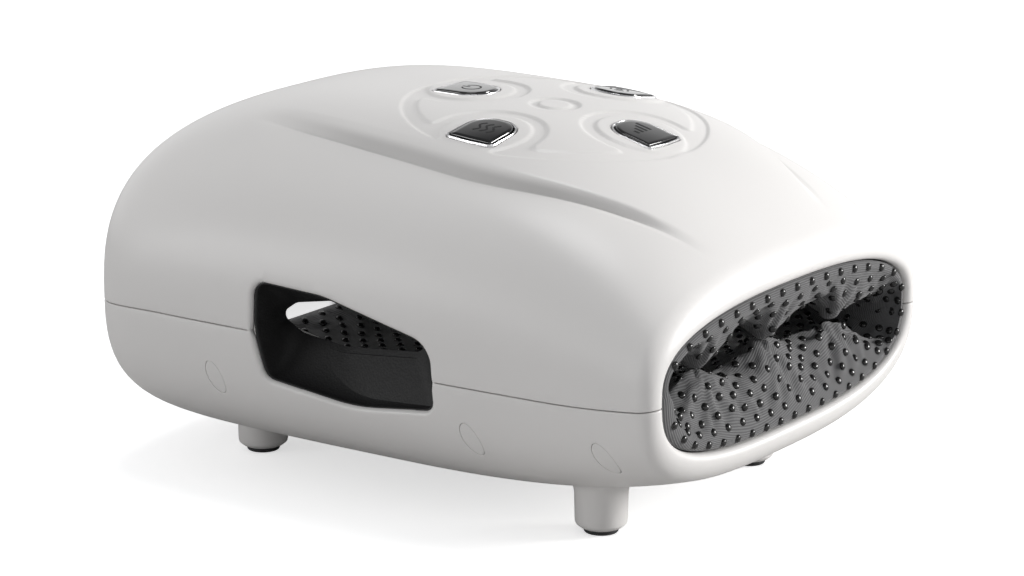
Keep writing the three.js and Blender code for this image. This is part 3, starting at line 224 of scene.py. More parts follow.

# %% [markdown]
# ## Painted shade along the crease
# On the real case soft shadow gathers in the crease, more than plain lamps give it here. Ambient
# occlusion could be baked into a texture. Instead each point of the skin gets a number, worked out
# from the crease's own formula, and the plastic's colour is painted a little darker where it is
# high: painted shade. So the shade belongs to the skin and stays in its place from every side.

# %% Painted shade along the crease
SHADE_START = 0.2
SHADE_SOFTNESS = 0.45
SHADE_END = 0.5
SHADE_REAR_RUN = 50.0
SHADE_FRONT = -88.0
SHADE_FRONT_RUN = 42.0
UNDENT_ROUNDS = 8


def crease_shade(x, y, z):
    """0 to 1: how far into the crease a point of the finished skin lies: its share of painted
    shade.
    """
    half_width = form_at(SIDE_FORM, y)
    reach = np.maximum(np.hypot(x, z - MIDDLE_HEIGHT), 1e-6)
    across = np.abs(x)
    for _ in range(UNDENT_ROUNDS):
        across = np.abs(x) * (1 + crease_dent(y, across, half_width) / reach)
    low, high, _ = crease_at(y)
    into = ease(((across - high) / (low - high) - SHADE_START) / SHADE_SOFTNESS)
    before_edge = 1 - ease((across - low) / SHADE_END)
    along = ease((CREASE_ENDS[1] - y) / SHADE_REAR_RUN) * ease((y - SHADE_FRONT) / SHADE_FRONT_RUN)
    return into * before_edge * along


print("the shade runs from y =", SHADE_FRONT, "to", CREASE_ENDS[1], "mm")

# %% [markdown]
# ## The pressed pattern round the buttons
# The top carries a shallow band, pressed in, that runs round the field of buttons and dips in
# round each of them, and a small ring at the centre. Boolean cuts would leave hard, uneven walls.
# Here a signed distance tells how far a point is from the pattern's outline, and the depth follows
# from it, which gives a smooth wall everywhere.

# %% Pressed pattern
PAD_CENTRE = (0.0, -19.0)
BUTTON_RING = (34.0, 31.5)
BAND_INSIDE = dict(field=41.6, bay=17.8, fillet=3.0)
BAND_OUTSIDE = dict(field=46.3, bay=13.4, fillet=2.5)
BAND_DEPTH = 0.5
BAND_WALL = 0.65
CENTRE_RING = (5.0, 7.6)
PATTERN_REACH = 50.0
BUTTON_WAYS = dict(power=(0, 1), heat=(-1, 0), level=(0, -1), mode=(1, 0))


def smooth_and(a, b, radius):
    """Signed distance of what two shapes share, negative inside, its corner rounded."""
    inner = np.minimum(np.maximum(a, b), -radius)
    return inner + np.hypot(np.maximum(a + radius, 0), np.maximum(b + radius, 0))


def pattern_edge(x, y, field, bay, fillet):
    edge = np.hypot(x - PAD_CENTRE[0], y - PAD_CENTRE[1]) - field
    for way in BUTTON_WAYS.values():
        spot = np.add(PAD_CENTRE, np.multiply(BUTTON_RING, way))
        edge = smooth_and(edge, bay - np.hypot(x - spot[0], y - spot[1]), fillet)
    return edge


def pressed_depth(x, y):
    band = np.minimum(pattern_edge(x, y, **BAND_INSIDE), -pattern_edge(x, y, **BAND_OUTSIDE))
    radius = np.hypot(x - PAD_CENTRE[0], y - PAD_CENTRE[1])
    ring = (CENTRE_RING[1] - CENTRE_RING[0]) / 2 - np.abs(radius - sum(CENTRE_RING) / 2)
    return BAND_DEPTH * ease(np.maximum(band, ring) / BAND_WALL + 0.5)


print("the band round the buttons is", BAND_DEPTH, "mm deep")

# %% Points of a section
def section_points(y, angle, inset=0.0, place=None, dressed=True):
    """Points at angles round the section at y; place puts them elsewhere along the case."""
    half_width = form_at(SIDE_FORM, y, inset)
    up = np.sin(angle) > 0
    power = np.where(up, power_at(TOP_POWERS, y), power_at(UNDER_POWERS, y))
    height = np.where(up, form_at(TOP_FORM, y, inset), form_at(UNDER_FORM, y, inset))
    x = half_width * signed_power(np.cos(angle), 2 / power)
    z = height * signed_power(np.sin(angle), 2 / power)
    if dressed:
        dent = np.where(up, crease_dent(y, np.abs(x) + inset, half_width + inset), 0)
        reach = np.maximum(np.hypot(x, z), 1e-9)
        px, pz = x - dent * x / reach, z - dent * z / reach
        pz = pz - np.where(up & (np.abs(x) < PATTERN_REACH), pressed_depth(px, y + 0 * px), 0)
    else:
        px, pz = x, z
    y = y + 0 * x if place is None else place + 0 * x
    return np.stack([px, y, MIDDLE_HEIGHT + pz], -1)


crest = section_points(np.zeros(1), np.full(1, math.pi / 2))[0]
print("the crest of the middle section:", crest.round(1))

# %% [markdown]
# ## The skin of the case as one grid
# The outside is one smooth moulding, from inside the mouth, over the lip and back to the tail. It
# could be a subdivided cage, but a cage only comes near the measures. Here it is laid out as rows
# of points that lie exactly on the formula. Rows are closer where the pressed pattern is, and
# columns follow the crease. Along each row the points are spread by arc length, because equal
# angles would crowd the corners.

# %% Rows of the skin
LIP_DEPTH = 5.0
LIP_WIDTH = 4.9
RIM_INSET = 6.95
RIM_ROUND = 2.0
MOUTH_WALL_END = -98.9
WALL_ROWS, RIM_ROWS, LIP_ROWS = 3, 8, 12
FINE_Y = (-66.5, 28.5)
FINE_STEP = 0.6
COARSE_STEP = 1.6
TAIL_STEP = 1.4
TAIL_SAMPLES = 6000
TAIL_CROWDING = 6


def skin_rows():
    """For each row: the section it takes, its inset, and where along the case it lies."""
    wall = np.linspace(MOUTH_WALL_END, FRONT + RIM_ROUND, WALL_ROWS + 1)[:-1]
    rows = [(FRONT, RIM_INSET, y) for y in wall]
    for turn in np.linspace(math.pi / 2, 0, RIM_ROWS + 1)[:-1]:
        inset = mix(LIP_WIDTH, RIM_INSET, math.sin(turn))
        rows.append((FRONT, inset, FRONT + RIM_ROUND * (1 - math.cos(turn))))
    for turn in np.linspace(0, math.pi / 2, LIP_ROWS + 1):
        y = FRONT + LIP_DEPTH * (1 - math.cos(turn))
        rows.append((y, LIP_WIDTH * (1 - math.sin(turn)), y))
    start = FRONT + LIP_DEPTH
    count = round((FINE_Y[0] - start) / COARSE_STEP)
    ys = list(np.linspace(start, FINE_Y[0], count + 1)[1:-1])
    ys += list(np.arange(FINE_Y[0], FINE_Y[1], FINE_STEP))
    fine = REAR - (REAR - FINE_Y[1]) * np.linspace(1, 0, TAIL_SAMPLES) ** TAIL_CROWDING
    curves = [fine] + [form_at(form, fine) for form in (SIDE_FORM, TOP_FORM, UNDER_FORM)]
    moves = [np.abs(np.diff(curve)) for curve in curves]
    travel = np.concatenate([[0], np.cumsum(np.maximum.reduce(moves))])
    count = round(travel[-1] / TAIL_STEP)
    ys += list(np.interp(np.linspace(0, travel[-1], count + 1), travel, fine)[:-1])
    rows += [(y, 0.0, y) for y in ys]
    return np.array(rows)


rows = skin_rows()
print("rows of the skin:", len(rows))

# %% Columns of the skin
COLUMN_COUNTS = dict(under=38, side=34, band=12, top=76)
EDGE_CROWDING = 2.6
CROWDED_SHARES = dict(band=0.5, side=0.35)
WIDEST_SHARES = dict(low=0.86, high=0.82)
LEAST_BAND_TURN = 0.05
ARC_SAMPLES = 121


def quarter_angles(y, inset):
    """Angles of the right half's points at one row, from the keel to the crest."""
    half_width = form_at(SIDE_FORM, y, inset)
    low, high, _ = crease_at(y)
    power = power_at(TOP_POWERS, y)

    def angle_of(x, most):
        return math.acos(min((x - inset) / max(half_width, 1e-6), most) ** (power / 2))

    low_angle = angle_of(low, WIDEST_SHARES["low"])
    high_angle = max(angle_of(high, WIDEST_SHARES["high"]), low_angle + LEAST_BAND_TURN)
    parts = []
    for start, end, count, crowd in (
        (-math.pi / 2, 0, COLUMN_COUNTS["under"], 1),
        (0, low_angle, COLUMN_COUNTS["side"], -EDGE_CROWDING),
        (low_angle, high_angle, COLUMN_COUNTS["band"], EDGE_CROWDING),
        (high_angle, math.pi / 2, COLUMN_COUNTS["top"], 1),
    ):
        share = np.linspace(0, 1, ARC_SAMPLES)
        dense = mix(start, end, (1 - np.cos(math.pi * share)) / 2)
        points = section_points(np.array(y), dense, inset, dressed=False)
        travel = np.concatenate([[0], np.cumsum(np.linalg.norm(np.diff(points, axis=0), axis=1))])
        wanted = np.linspace(0, 1, count + 1)[:-1]
        if crowd > 1:
            most = CROWDED_SHARES["band"]
            wanted = wanted**crowd * most + wanted * (1 - most)
        elif crowd < 0:
            most = CROWDED_SHARES["side"]
            wanted = 1 - ((1 - wanted) ** -crowd * most + (1 - wanted) * (1 - most))
        parts.append(np.interp(wanted * travel[-1], travel, dense))
    return np.concatenate(parts + [[math.pi / 2]])


right = np.array([quarter_angles(y, inset) for y, inset, _ in rows])
print("points of a row on the right:", right.shape[1])

# %% The grid itself
angles = np.concatenate([right, (math.pi - right)[:, -2:0:-1]], 1)
skin = section_points(rows[:, :1], angles, rows[:, 1:2], rows[:, 2:3])
row_count, column_count = skin.shape[:2]
skin_points = np.concatenate([skin.reshape(-1, 3), [[0, REAR, MIDDLE_HEIGHT]]])
tail_ring = (row_count - 1) * column_count + np.arange(column_count)
skin_faces = np.concatenate(
    [strip_faces(row_count, column_count, closed=True), fan_faces(tail_ring, len(skin_points) - 1)]
)[:, ::-1]
a, b, c = (skin_points[skin_faces[:, k]] for k in range(3))
assert np.sum(a * np.cross(b, c)) > 0, "the skin's faces must look outward"
print("skin:", row_count, "rows of", column_count, "points,", len(skin_faces), "triangles")

# %% [markdown]
# ## Outlines
# Openings, buttons and funnels all have rounded outlines. A Bezier curve could draw them, but its
# handles say little about sizes. Each starts from a few corners with a radius instead. An arc fills
# every corner, and the straight runs get points too, so that a skin cut along it bends evenly.

# %% Outlines from rounded corners
def rounded_outline(corners, arc_steps=10, run=1.0, run_steps=None):
    corners = np.asarray(corners, float)
    points = []
    for i, (x, y, radius) in enumerate(corners):
        corner = np.array([x, y])
        before, after = corners[i - 1, :2] - corner, corners[(i + 1) % len(corners), :2] - corner
        longest = min(np.linalg.norm(before), np.linalg.norm(after)) / 2
        before, after = unit(before), unit(after)
        half = math.acos(np.clip(before @ after, -1, 1)) / 2
        reach = min(radius / math.tan(half), longest)
        arc = reach * math.tan(half)
        centre = corner + unit(before + after) * arc / math.sin(half)
        start, end = corner + before * reach - centre, corner + after * reach - centre
        sweep = math.atan2(start[0] * end[1] - start[1] * end[0], start @ end)
        for turn in np.linspace(0, sweep, arc_steps + 1):
            c, s = math.cos(turn), math.sin(turn)
            points.append(centre + (c * start[0] - s * start[1], s * start[0] + c * start[1]))
    filled = []
    for here, onward in zip(points, points[1:] + points[:1]):
        pieces = max(1, round(np.linalg.norm(onward - here) / run))
        if run_steps:
            pieces = run_steps if len(filled) % (arc_steps + run_steps) == arc_steps else 1
        filled += [mix(here, onward, k / pieces) for k in range(pieces)]
    return np.array(filled)


square = rounded_outline([(-5, -5, 1), (5, -5, 1), (5, 5, 1), (-5, 5, 1)])
print("a rounded square has", len(square), "points")

# %% Distance to an outline, and an outline made larger
LEAST_SPREAD = 0.5


def distance_to(outline, spots):
    """Signed distance from each spot to a closed outline, positive outside."""
    start, end = outline, np.roll(outline, -1, 0)
    best = np.full(len(spots), np.inf)
    inside = np.zeros(len(spots), bool)
    for a, b in zip(start, end):
        along = b - a
        share = np.clip(((spots - a) @ along) / (along @ along), 0, 1)
        gap = np.linalg.norm(spots - a - share[:, None] * along, axis=1)
        best = np.minimum(best, gap)
        crosses = (a[1] > spots[:, 1]) != (b[1] > spots[:, 1])
        with np.errstate(divide="ignore", invalid="ignore"):
            meet = a[0] + (spots[:, 1] - a[1]) * along[0] / along[1]
        inside ^= crosses & (spots[:, 0] < meet)
    return np.where(inside, -best, best)


def grown(outline, distance):
    """The outline moved outward, for a run of points in either turning direction."""
    before, after = np.roll(outline, 1, 0), np.roll(outline, -1, 0)
    area = np.sum(outline[:, 0] * after[:, 1] - after[:, 0] * outline[:, 1])
    inward, onward = unit(outline - before), unit(after - outline)
    normal = unit(np.stack([inward[:, 1] + onward[:, 1], -inward[:, 0] - onward[:, 0]], -1))
    spread = np.maximum(normal[:, 0] * onward[:, 1] - normal[:, 1] * onward[:, 0], LEAST_SPREAD)
    return outline + np.sign(area) * distance * normal / spread[:, None]


print("from the middle of the square to its edge:", distance_to(square, np.zeros((1, 2))), "mm")

# %% Thumb opening, in the plane seen from the side
THUMB_MIDDLE = (-2.1, 54.0)
THUMB_HALF = (32.0, 17.0)
THUMB_CORNERS = [
    (0.985, 0.97, 0.25), (0.995, 0.08, 1.5), (0.87, -0.8, 0.25), (-0.1, -1.04, 3.2),
    (-0.99, -0.82, 0.22), (-0.97, 0.37, 0.5), (0.2, 0.9, 2.5),
]
SLOT_MIDDLE = (4.0, 57.0)
SLOT_HALF = (28.0, 7.0)
SLOT_CORNERS = [
    (0.8, 0.5, 0.9), (1.02, -0.12, 0.3), (0.72, -0.78, 1.2), (0.1, -0.98, 2.4),
    (-0.93, -0.5, 0.5), (-0.93, 0.75, 0.5), (0.3, 0.9, 2.4),
]


def corner_outline(corners, middle, half, **steps):
    return rounded_outline(
        [(middle[0] + y * half[0], middle[1] + z * half[1], r * half[1]) for y, z, r in corners],
        **steps,
    )


thumb_outline = corner_outline(THUMB_CORNERS, THUMB_MIDDLE, THUMB_HALF)
print("thumb opening:", np.ptp(thumb_outline, axis=0).round(1), "mm")

# %% The buttons' places: each square to the surface under it
SLOPE_STEP = 0.425


def top_height(x, y):
    share = (np.abs(x) / form_at(SIDE_FORM, y)) ** power_at(TOP_POWERS, y)
    return MIDDLE_HEIGHT + form_at(TOP_FORM, y) * (1 - share) ** (1 / power_at(TOP_POWERS, y))


def button_place(way):
    x, y = np.add(PAD_CENTRE, np.multiply(BUTTON_RING, way))
    step = SLOPE_STEP
    slope_x = (top_height(x + step, y) - top_height(x - step, y)) / (2 * step)
    slope_y = (top_height(x, y + step) - top_height(x, y - step)) / (2 * step)
    normal = unit(np.array([-slope_x, -slope_y, 1.0]))
    tangent = unit(np.cross(normal, (*way, 0)))
    outward = np.cross(tangent, normal)
    return np.array([x, y, float(top_height(x, y))]), np.stack([outward, tangent, normal])


button_places = {name: button_place(way) for name, way in BUTTON_WAYS.items()}
PICK = [(-8.4, -8.6, 7.8), (9.2, -8.6, 1.7), (9.7, 0, 40.0), (9.2, 8.6, 1.7), (-8.4, 8.6, 7.8)]
pick_outline = rounded_outline(PICK, arc_steps=12, run=0.6)
print("buttons:", {name: spot.round(1).tolist() for name, (spot, _) in button_places.items()})

# %% [markdown]
# ## Cutting the skin
# The case has openings for the thumb, the buttons, the plugs and the socket. A boolean on a thin
# skin this fine is slow and leaves slivers. Instead each opening is a field of signed distances:
# triangles that cross zero are cut there, points almost on the line slide onto it, and what is
# below zero goes. Triangles near an opening are first split, so its edge is smooth.

# %% Splitting triangles
def triangle_edges(faces):
    return np.sort(np.concatenate([faces[:, [0, 1]], faces[:, [1, 2]], faces[:, [2, 0]]]), 1)


def split_near(points, faces, near):
    """Halves every edge of the faces whose points are all near, and joins their neighbours up."""
    chosen = near[faces].all(1)
    edges = np.unique(triangle_edges(faces[chosen]), axis=0)
    middle = {tuple(edge): len(points) + i for i, edge in enumerate(edges.tolist())}
    marked = np.zeros(len(points), bool)
    marked[edges.ravel()] = True
    loose = marked[faces].sum(1) >= 2
    points = np.concatenate([points, points[edges].mean(1)])
    made = []
    for a, b, c in faces[loose].tolist():
        ab, bc, ca = (middle.get((min(p, q), max(p, q))) for p, q in ((a, b), (b, c), (c, a)))
        ring = [p for p in (a, ab, b, bc, c, ca) if p is not None]
        if len(ring) == 6:
            made += [(a, ab, ca), (ab, b, bc), (ca, bc, c), (ab, bc, ca)]
        elif len(ring) == 5:
            whole = [k for k, m in enumerate((ab, bc, ca)) if m is None][0]
            p, q, r = ((a, b, c), (b, c, a), (c, a, b))[whole]
            qr, rp = ((bc, ca), (ca, ab), (ab, bc))[whole]
            made += [(p, q, qr), (p, qr, rp), (rp, qr, r)]
        elif len(ring) == 4:
            k = [i for i, p in enumerate(ring) if p not in (a, b, c)][0]
            ring = ring[k:] + ring[:k]
            made += [(ring[0], ring[1], ring[2]), (ring[0], ring[2], ring[3])]
        else:
            made.append((a, b, c))
    return points, np.concatenate([faces[~loose], np.array(made, int).reshape(-1, 3)])


halved = split_near(np.eye(3), np.array([[0, 1, 2]]), np.ones(3, bool))
print("one triangle, split once, gives", len(halved[1]))

# %% Cutting triangles
SNAP_SHARE = 0.2
END_SHARE = 0.001


def cut_where(points, faces, radii, field_of, radius):
    """Keeps the faces where the field is above zero; points on the new edge remember its radius."""
    field = field_of(points)
    pairs = triangle_edges(faces)
    pairs = pairs[field[pairs[:, 0]] * field[pairs[:, 1]] < 0]
    pairs = np.unique(pairs, axis=0)

    def crossings(pairs):
        low, high = points[pairs[:, 0]], points[pairs[:, 1]]
        f_low, f_high = field[pairs[:, 0]], field[pairs[:, 1]]
        share = f_low / (f_low - f_high)
        spot = low + share[:, None] * (high - low)
        rise = np.where(f_high - f_low == 0, 1, f_high - f_low)
        share = np.clip(share - field_of(spot) / rise, END_SHARE, 1 - END_SHARE)
        return share, low + share[:, None] * (high - low)

    share, spots = crossings(pairs)
    moved = np.minimum(share, 1 - share)
    close = np.flatnonzero(moved < SNAP_SHARE)
    close = close[np.argsort(-moved[close])]
    target = np.where(share[close] < 0.5, pairs[close, 0], pairs[close, 1])
    points = points.copy()
    points[target] = spots[close]
    field[target] = 0
    radii = radii.copy()
    radii[target] = radius
    pairs = pairs[field[pairs[:, 0]] * field[pairs[:, 1]] < 0]
    share, spots = crossings(pairs)
    cut = {tuple(pair): len(points) + i for i, pair in enumerate(pairs.tolist())}
    points = np.concatenate([points, spots])
    field = np.concatenate([field, np.zeros(len(spots))])
    radii = np.concatenate([radii, np.full(len(spots), radius)])
    low, high = field[faces].min(1), field[faces].max(1)
    made = []
    for face in faces[(low < 0) & (high > 0)].tolist():
        ring = []
        for i, j in zip(face, face[1:] + face[:1]):
            if field[i] >= 0:
                ring.append(i)
            if field[i] * field[j] < 0:
                ring.append(cut[(min(i, j), max(i, j))])
        made += [(ring[0], ring[k], ring[k + 1]) for k in range(1, len(ring) - 1)]
    faces = np.concatenate([faces[(low >= 0) & (high > 0)], np.array(made, int).reshape(-1, 3)])
    return points, faces, radii


print("points slide along up to", SNAP_SHARE, "of an edge")

# %% [markdown]
# ## From a cut skin to a moulded shell
# A moulded part has a wall and rounded edges. The Solidify and Bevel modifiers could make both, but
# they stumble over outlines as fine as these. Instead, along every open edge the skin is carried
# round a small arc, down the wall and back under itself to an inner skin, which closes the piece.

# %% What a mesh needs before it is closed
def tidy_mesh(points, faces, *values):
    used = np.unique(faces)
    renumber = np.full(len(points), -1)
    renumber[used] = np.arange(len(used))
    return (points[used], renumber[faces], *(value[used] for value in values))


def vertex_normals(points, faces):
    a, b, c = points[faces[:, 0]], points[faces[:, 1]], points[faces[:, 2]]
    face_normals = np.cross(b - a, c - a)
    normals = np.zeros_like(points)
    for k in range(3):
        np.add.at(normals, faces[:, k], face_normals)
    return unit(normals)


def open_loops(faces, count):
    edges = np.concatenate([faces[:, [0, 1]], faces[:, [1, 2]], faces[:, [2, 0]]])
    codes, back = edges[:, 0] * count + edges[:, 1], edges[:, 1] * count + edges[:, 0]
    loose = edges[~np.isin(codes, back)]
    onward = dict(loose.tolist())
    loops = []
    while onward:
        start = here = next(iter(onward))
        loop = []
        while here in onward:
            loop.append(here)
            here = onward.pop(here)
        if here == start and len(loop) > 2:
            loops.append(np.array(loop))
    return loops


print("open loops of one triangle:", len(open_loops(np.array([[0, 1, 2]]), 3)))

# %% Closing a skin into a shell
ARC_STEPS = 4
RADIUS_ROUNDS = 3
LEAST_LEAN = 0.7


def closed_shell(points, faces, radii, wall):
    """A closed piece, with wall as its thickness at each point, and which points lie inside."""
    count = len(points)
    normals = vertex_normals(points, faces)
    stack, strips = [points, points - wall[:, None] * normals], [faces, faces[:, ::-1] + count]
    used = 2 * count
    for loop in open_loops(faces, count):
        spots, up, r = points[loop], normals[loop], radii[loop]
        for _ in range(RADIUS_ROUNDS):
            r = (np.roll(r, 1) + 2 * r + np.roll(r, -1)) / 4
        onward = unit(np.roll(spots, -1, 0) - spots)
        side = np.cross(onward, up)
        before = np.roll(side, 1, 0)
        spread = 1 + np.sum(side * before, -1, keepdims=True)
        lean = (side + before) / np.maximum(spread, LEAST_LEAN)
        turns = np.linspace(0, math.pi / 2, ARC_STEPS + 1)[1:]
        rings = [spots + r[:, None] * (math.sin(t) * lean - (1 - math.cos(t)) * up) for t in turns]
        rings.append(spots + r[:, None] * lean - wall[loop][:, None] * up)
        added = [used + k * len(loop) + np.arange(len(loop)) for k in range(len(rings))]
        ids = [loop, *added, loop + count]
        for near, far in zip(ids, ids[1:]):
            i, j, i_far, j_far = near, np.roll(near, -1), far, np.roll(far, -1)
            strips += [np.stack([j, i, i_far], -1), np.stack([j, i_far, j_far], -1)]
        stack += rings
        used += len(loop) * len(rings)
    inner = np.zeros(used, bool)
    inner[count : 2 * count] = True
    return np.concatenate(stack), np.concatenate(strips), inner


print("a moulded edge is rounded in", ARC_STEPS, "steps")

# %% [markdown]
# ## The two halves of the case
# The real case is two mouldings. The skin is cut at the thumb openings, round the buttons, at the
# screw plugs and at the charging socket, and then along the parting line, which steps up behind the
# thumb openings. A dark line painted on one piece would do from afar, but the two halves have to
# come apart, so each half is a piece of its own with a real gap between them.

# %% Fields of the openings
SEAT_GAP = 0.3
SHELL_WALL = 2.1
THUMB_ROUND = 1.3
BUTTON_ROUND = 0.3
PLUG_ROUND = 0.2
PLUG_GAP = 0.12
SEAM_ROUND = 0.35
PLUG_HALF = (2.8, 5.3)
PLUG_LEAN = math.radians(17)
PLUG_PLACES = [(45.0, 37.8), (-45.0, 33.4), (-88.0, 34.6)]
SOCKET_ROUND = 0.35
SOCKET_HALF = (5.0, 2.1)
SOCKET_CORNER = 0.8
SOCKET_HEIGHT = MIDDLE_HEIGHT - 18.45
FAR = 50.0
THUMB_FROM_X, PLUG_FROM_X, SOCKET_FROM_Y = 55, 50, 60
BUTTON_ZONE = (22, 16, 6)


def socket_field(points):
    """The charging socket's opening, a small rounded oblong in the rear wall."""
    half = np.add(SOCKET_HALF, SEAT_GAP + SOCKET_ROUND)
    spots = np.abs(points[:, [0, 2]] - (0, SOCKET_HEIGHT)) - half + SOCKET_CORNER
    gap = np.hypot(*np.maximum(spots, 0).T) + np.minimum(spots.max(1), 0) - SOCKET_CORNER
    return np.where(points[:, 1] > SOCKET_FROM_Y, gap, FAR)


def thumb_field(points):
    field = np.full(len(points), FAR)
    near = np.abs(points[:, 0]) > THUMB_FROM_X
    field[near] = distance_to(thumb_outline, points[near, 1:]) - THUMB_ROUND
    return field


def button_field(points):
    field = np.full(len(points), FAR)
    for spot, axes in button_places.values():
        local = (points - spot) @ axes.T
        near = (np.abs(local) < BUTTON_ZONE).all(1)
        gap = distance_to(pick_outline, local[near, :2]) - SEAT_GAP - BUTTON_ROUND
        field[near] = np.minimum(field[near], gap)
    return field


def plug_distance(points, place):
    """Distance from a leaning oval, in the plane seen from the side."""
    local = points[:, 1:] - place
    across = local[:, 0] * math.cos(PLUG_LEAN) - local[:, 1] * math.sin(PLUG_LEAN)
    along = local[:, 0] * math.sin(PLUG_LEAN) + local[:, 1] * math.cos(PLUG_LEAN)
    reach = np.hypot(across / PLUG_HALF[0], along / PLUG_HALF[1])
    slope = np.hypot(across / PLUG_HALF[0] ** 2, along / PLUG_HALF[1] ** 2)
    slope = slope / np.maximum(reach, 1e-6)
    return (reach - 1) / np.maximum(slope, 1e-6)


def plug_field(points):
    field = np.full(len(points), FAR)
    for place in PLUG_PLACES:
        gap = plug_distance(points, place) - PLUG_GAP - PLUG_ROUND
        field = np.where(np.abs(points[:, 0]) > PLUG_FROM_X, np.minimum(field, gap), field)
    return field


print("screw plugs a side:", len(PLUG_PLACES))

# %% Cut the skin once for both halves
# Each opening: its field, the radius of its edge, the rounds of splitting, and how far they reach.
OPENINGS = (
    (thumb_field, THUMB_ROUND, 1, 2.5),
    (plug_field, PLUG_ROUND, 2, 1.6),
    (button_field, BUTTON_ROUND, 1, 1.0),
    (socket_field, SOCKET_ROUND, 3, 2.0),
)
shell = (skin_points, skin_faces, np.zeros(len(skin_points)))
for field_of, radius, rounds, band in OPENINGS:
    points, faces, radii = shell
    for _ in range(rounds):
        points, faces = split_near(points, faces, np.abs(field_of(points)) < band)
    radii = np.concatenate([radii, np.zeros(len(points) - len(radii))])
    shell = cut_where(points, faces, radii, field_of, radius)
print("skin with its openings:", len(shell[1]), "triangles")

# %% [markdown]
# ## Thinning out what nobody sees
# A shell's inner skin is as fine as its outer one, but nobody sees it. Left out, it would leave the
# piece open. A Decimate modifier held to a group of points makes the inside coarse, and leaves
# every point outside where it is.

# %% Thin out the inside
INSIDE_KEPT = 0.06


def apply_modifiers(piece):
    evaluated = piece.evaluated_get(bpy.context.evaluated_depsgraph_get())
    mesh = bpy.data.meshes.new_from_object(evaluated)
    piece.modifiers.clear()
    old, piece.data = piece.data, mesh
    bpy.data.meshes.remove(old)


def thin_inside(piece, inner):
    """Collapses the inner skin's triangles, and leaves every other point where it is."""
    group = piece.vertex_groups.new(name="inside")
    group.add(np.flatnonzero(inner).tolist(), 1.0, "REPLACE")
    hidden = len(inner[inner]) / len(inner)
    thinner = piece.modifiers.new("thinner", "DECIMATE")
    thinner.vertex_group = "inside"
    thinner.ratio = 1 - hidden * (1 - INSIDE_KEPT)
    apply_modifiers(piece)
    piece.vertex_groups.clear()
    piece.data.polygons.foreach_set("use_smooth", np.ones(len(piece.data.polygons), bool))


print("of an inner skin", INSIDE_KEPT, "of the triangles stay")

# %% Part the halves and close them
SEAM_HEIGHTS = (49.5, 55.0)
SEAM_STEP = (-38, 72)
SEAM_MOUTH_RISE, SEAM_MOUTH_RUN = 2.2, 36
SEAM_TAIL_DROP, SEAM_TAIL_RUN = 3.0, 45
LIP_THINNED = 0.7
LIP_THIN_FROM, LIP_THIN_RUN = -97, 4


def seam_height(y):
    step = ease((y - SEAM_STEP[0]) / SEAM_STEP[1])
    mouth = np.clip((FRONT + SEAM_MOUTH_RUN - y) / SEAM_MOUTH_RUN, 0, 1) ** 2
    tail = np.clip((y - REAR + SEAM_TAIL_RUN) / SEAM_TAIL_RUN, 0, 1) ** 2
    return mix(*SEAM_HEIGHTS, step) + SEAM_MOUTH_RISE * mouth - SEAM_TAIL_DROP * tail


for name, side in (("upper_shell_skin", 1), ("lower_shell_skin", -1)):
    def seam_field(points, side=side):
        return side * (points[:, 2] - seam_height(points[:, 1])) - SEAT_GAP / 2 - SEAM_ROUND

    points, faces, radii = tidy_mesh(*cut_where(*shell, seam_field, SEAM_ROUND))
    wall = SHELL_WALL - LIP_THINNED * ease((LIP_THIN_FROM - points[:, 1]) / LIP_THIN_RUN)
    points, faces, inner = closed_shell(points, faces, radii, wall)
    half = make_piece(name, points, faces)
    thin_inside(half, inner)
    spots = np.empty(len(half.data.vertices) * 3)
    half.data.vertices.foreach_get("co", spots)
    x, y, z = (spots.reshape(-1, 3) / MM).T
    # painted shade along the crease, on the upper half only; the pearl material darkens its colour
    # by it
    shade = half.data.attributes.new("crease_shade", "FLOAT", "POINT")
    shade.data.foreach_set("value", crease_shade(x, y, z) * (side > 0))
    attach(half, "case")
    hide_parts(name.replace("_skin", ""))
    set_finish(half, "pearl_case")
    print(name, len(faces), "triangles, and", len(half.data.polygons), "with a thinned inside")

# %% [markdown]
# ## Lofts
# Most small moulded parts are a row of rings joined up: a button, a chrome rim, a funnel, a leg.
# Curves with a bevel could make the plain ones, but not a ring whose shape changes on its way. One
# helper joins rings of equally many points, either closed at both ends or as a sleeve.

# %% Loft helper
def loft(rings, sleeve=False):
    rings = np.asarray(rings, float)
    count, around = rings.shape[:2]
    points = rings.reshape(-1, 3)
    if sleeve:
        return points, strip_faces(count + 1, around, closed=True) % (count * around)
    faces = [strip_faces(count, around, closed=True)]
    ends = np.array([rings[0].mean(0), rings[-1].mean(0)])
    faces.append(fan_faces(np.arange(around), count * around, flip=True))
    faces.append(fan_faces((count - 1) * around + np.arange(around), count * around + 1))
    return np.concatenate([points, ends]), np.concatenate(faces)


def facing_out(points, faces):
    a, b, c = (points[faces[:, k]] for k in range(3))
    volume = np.sum(a * np.cross(b, c))
    return (points, faces) if volume > 0 else (points, faces[:, ::-1])


def add_loft(name, rings, body, slot, nodes, sleeve=False, sharp=40):
    points, faces = facing_out(*loft(rings, sleeve))
    piece = make_piece(name, points, faces, sharp=sharp)
    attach(piece, body)
    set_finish(piece, slot)
    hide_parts(*nodes)


print("a loft of 2 rings of 4 points has", len(loft(np.zeros((2, 4, 3)))[1]), "triangles")

# %% [markdown]
# ## Buttons
# Each button is a rounded triangle with a slightly domed, mirror-smooth top, in a thin chrome rim.
# A bevelled plate would be quicker to make, but a flat top mirrors one patch of the room and looks
# dead. So the cap is a loft whose rings climb the dome, with a flange and a stem below it, and the
# rim is a sleeve with a round crown.

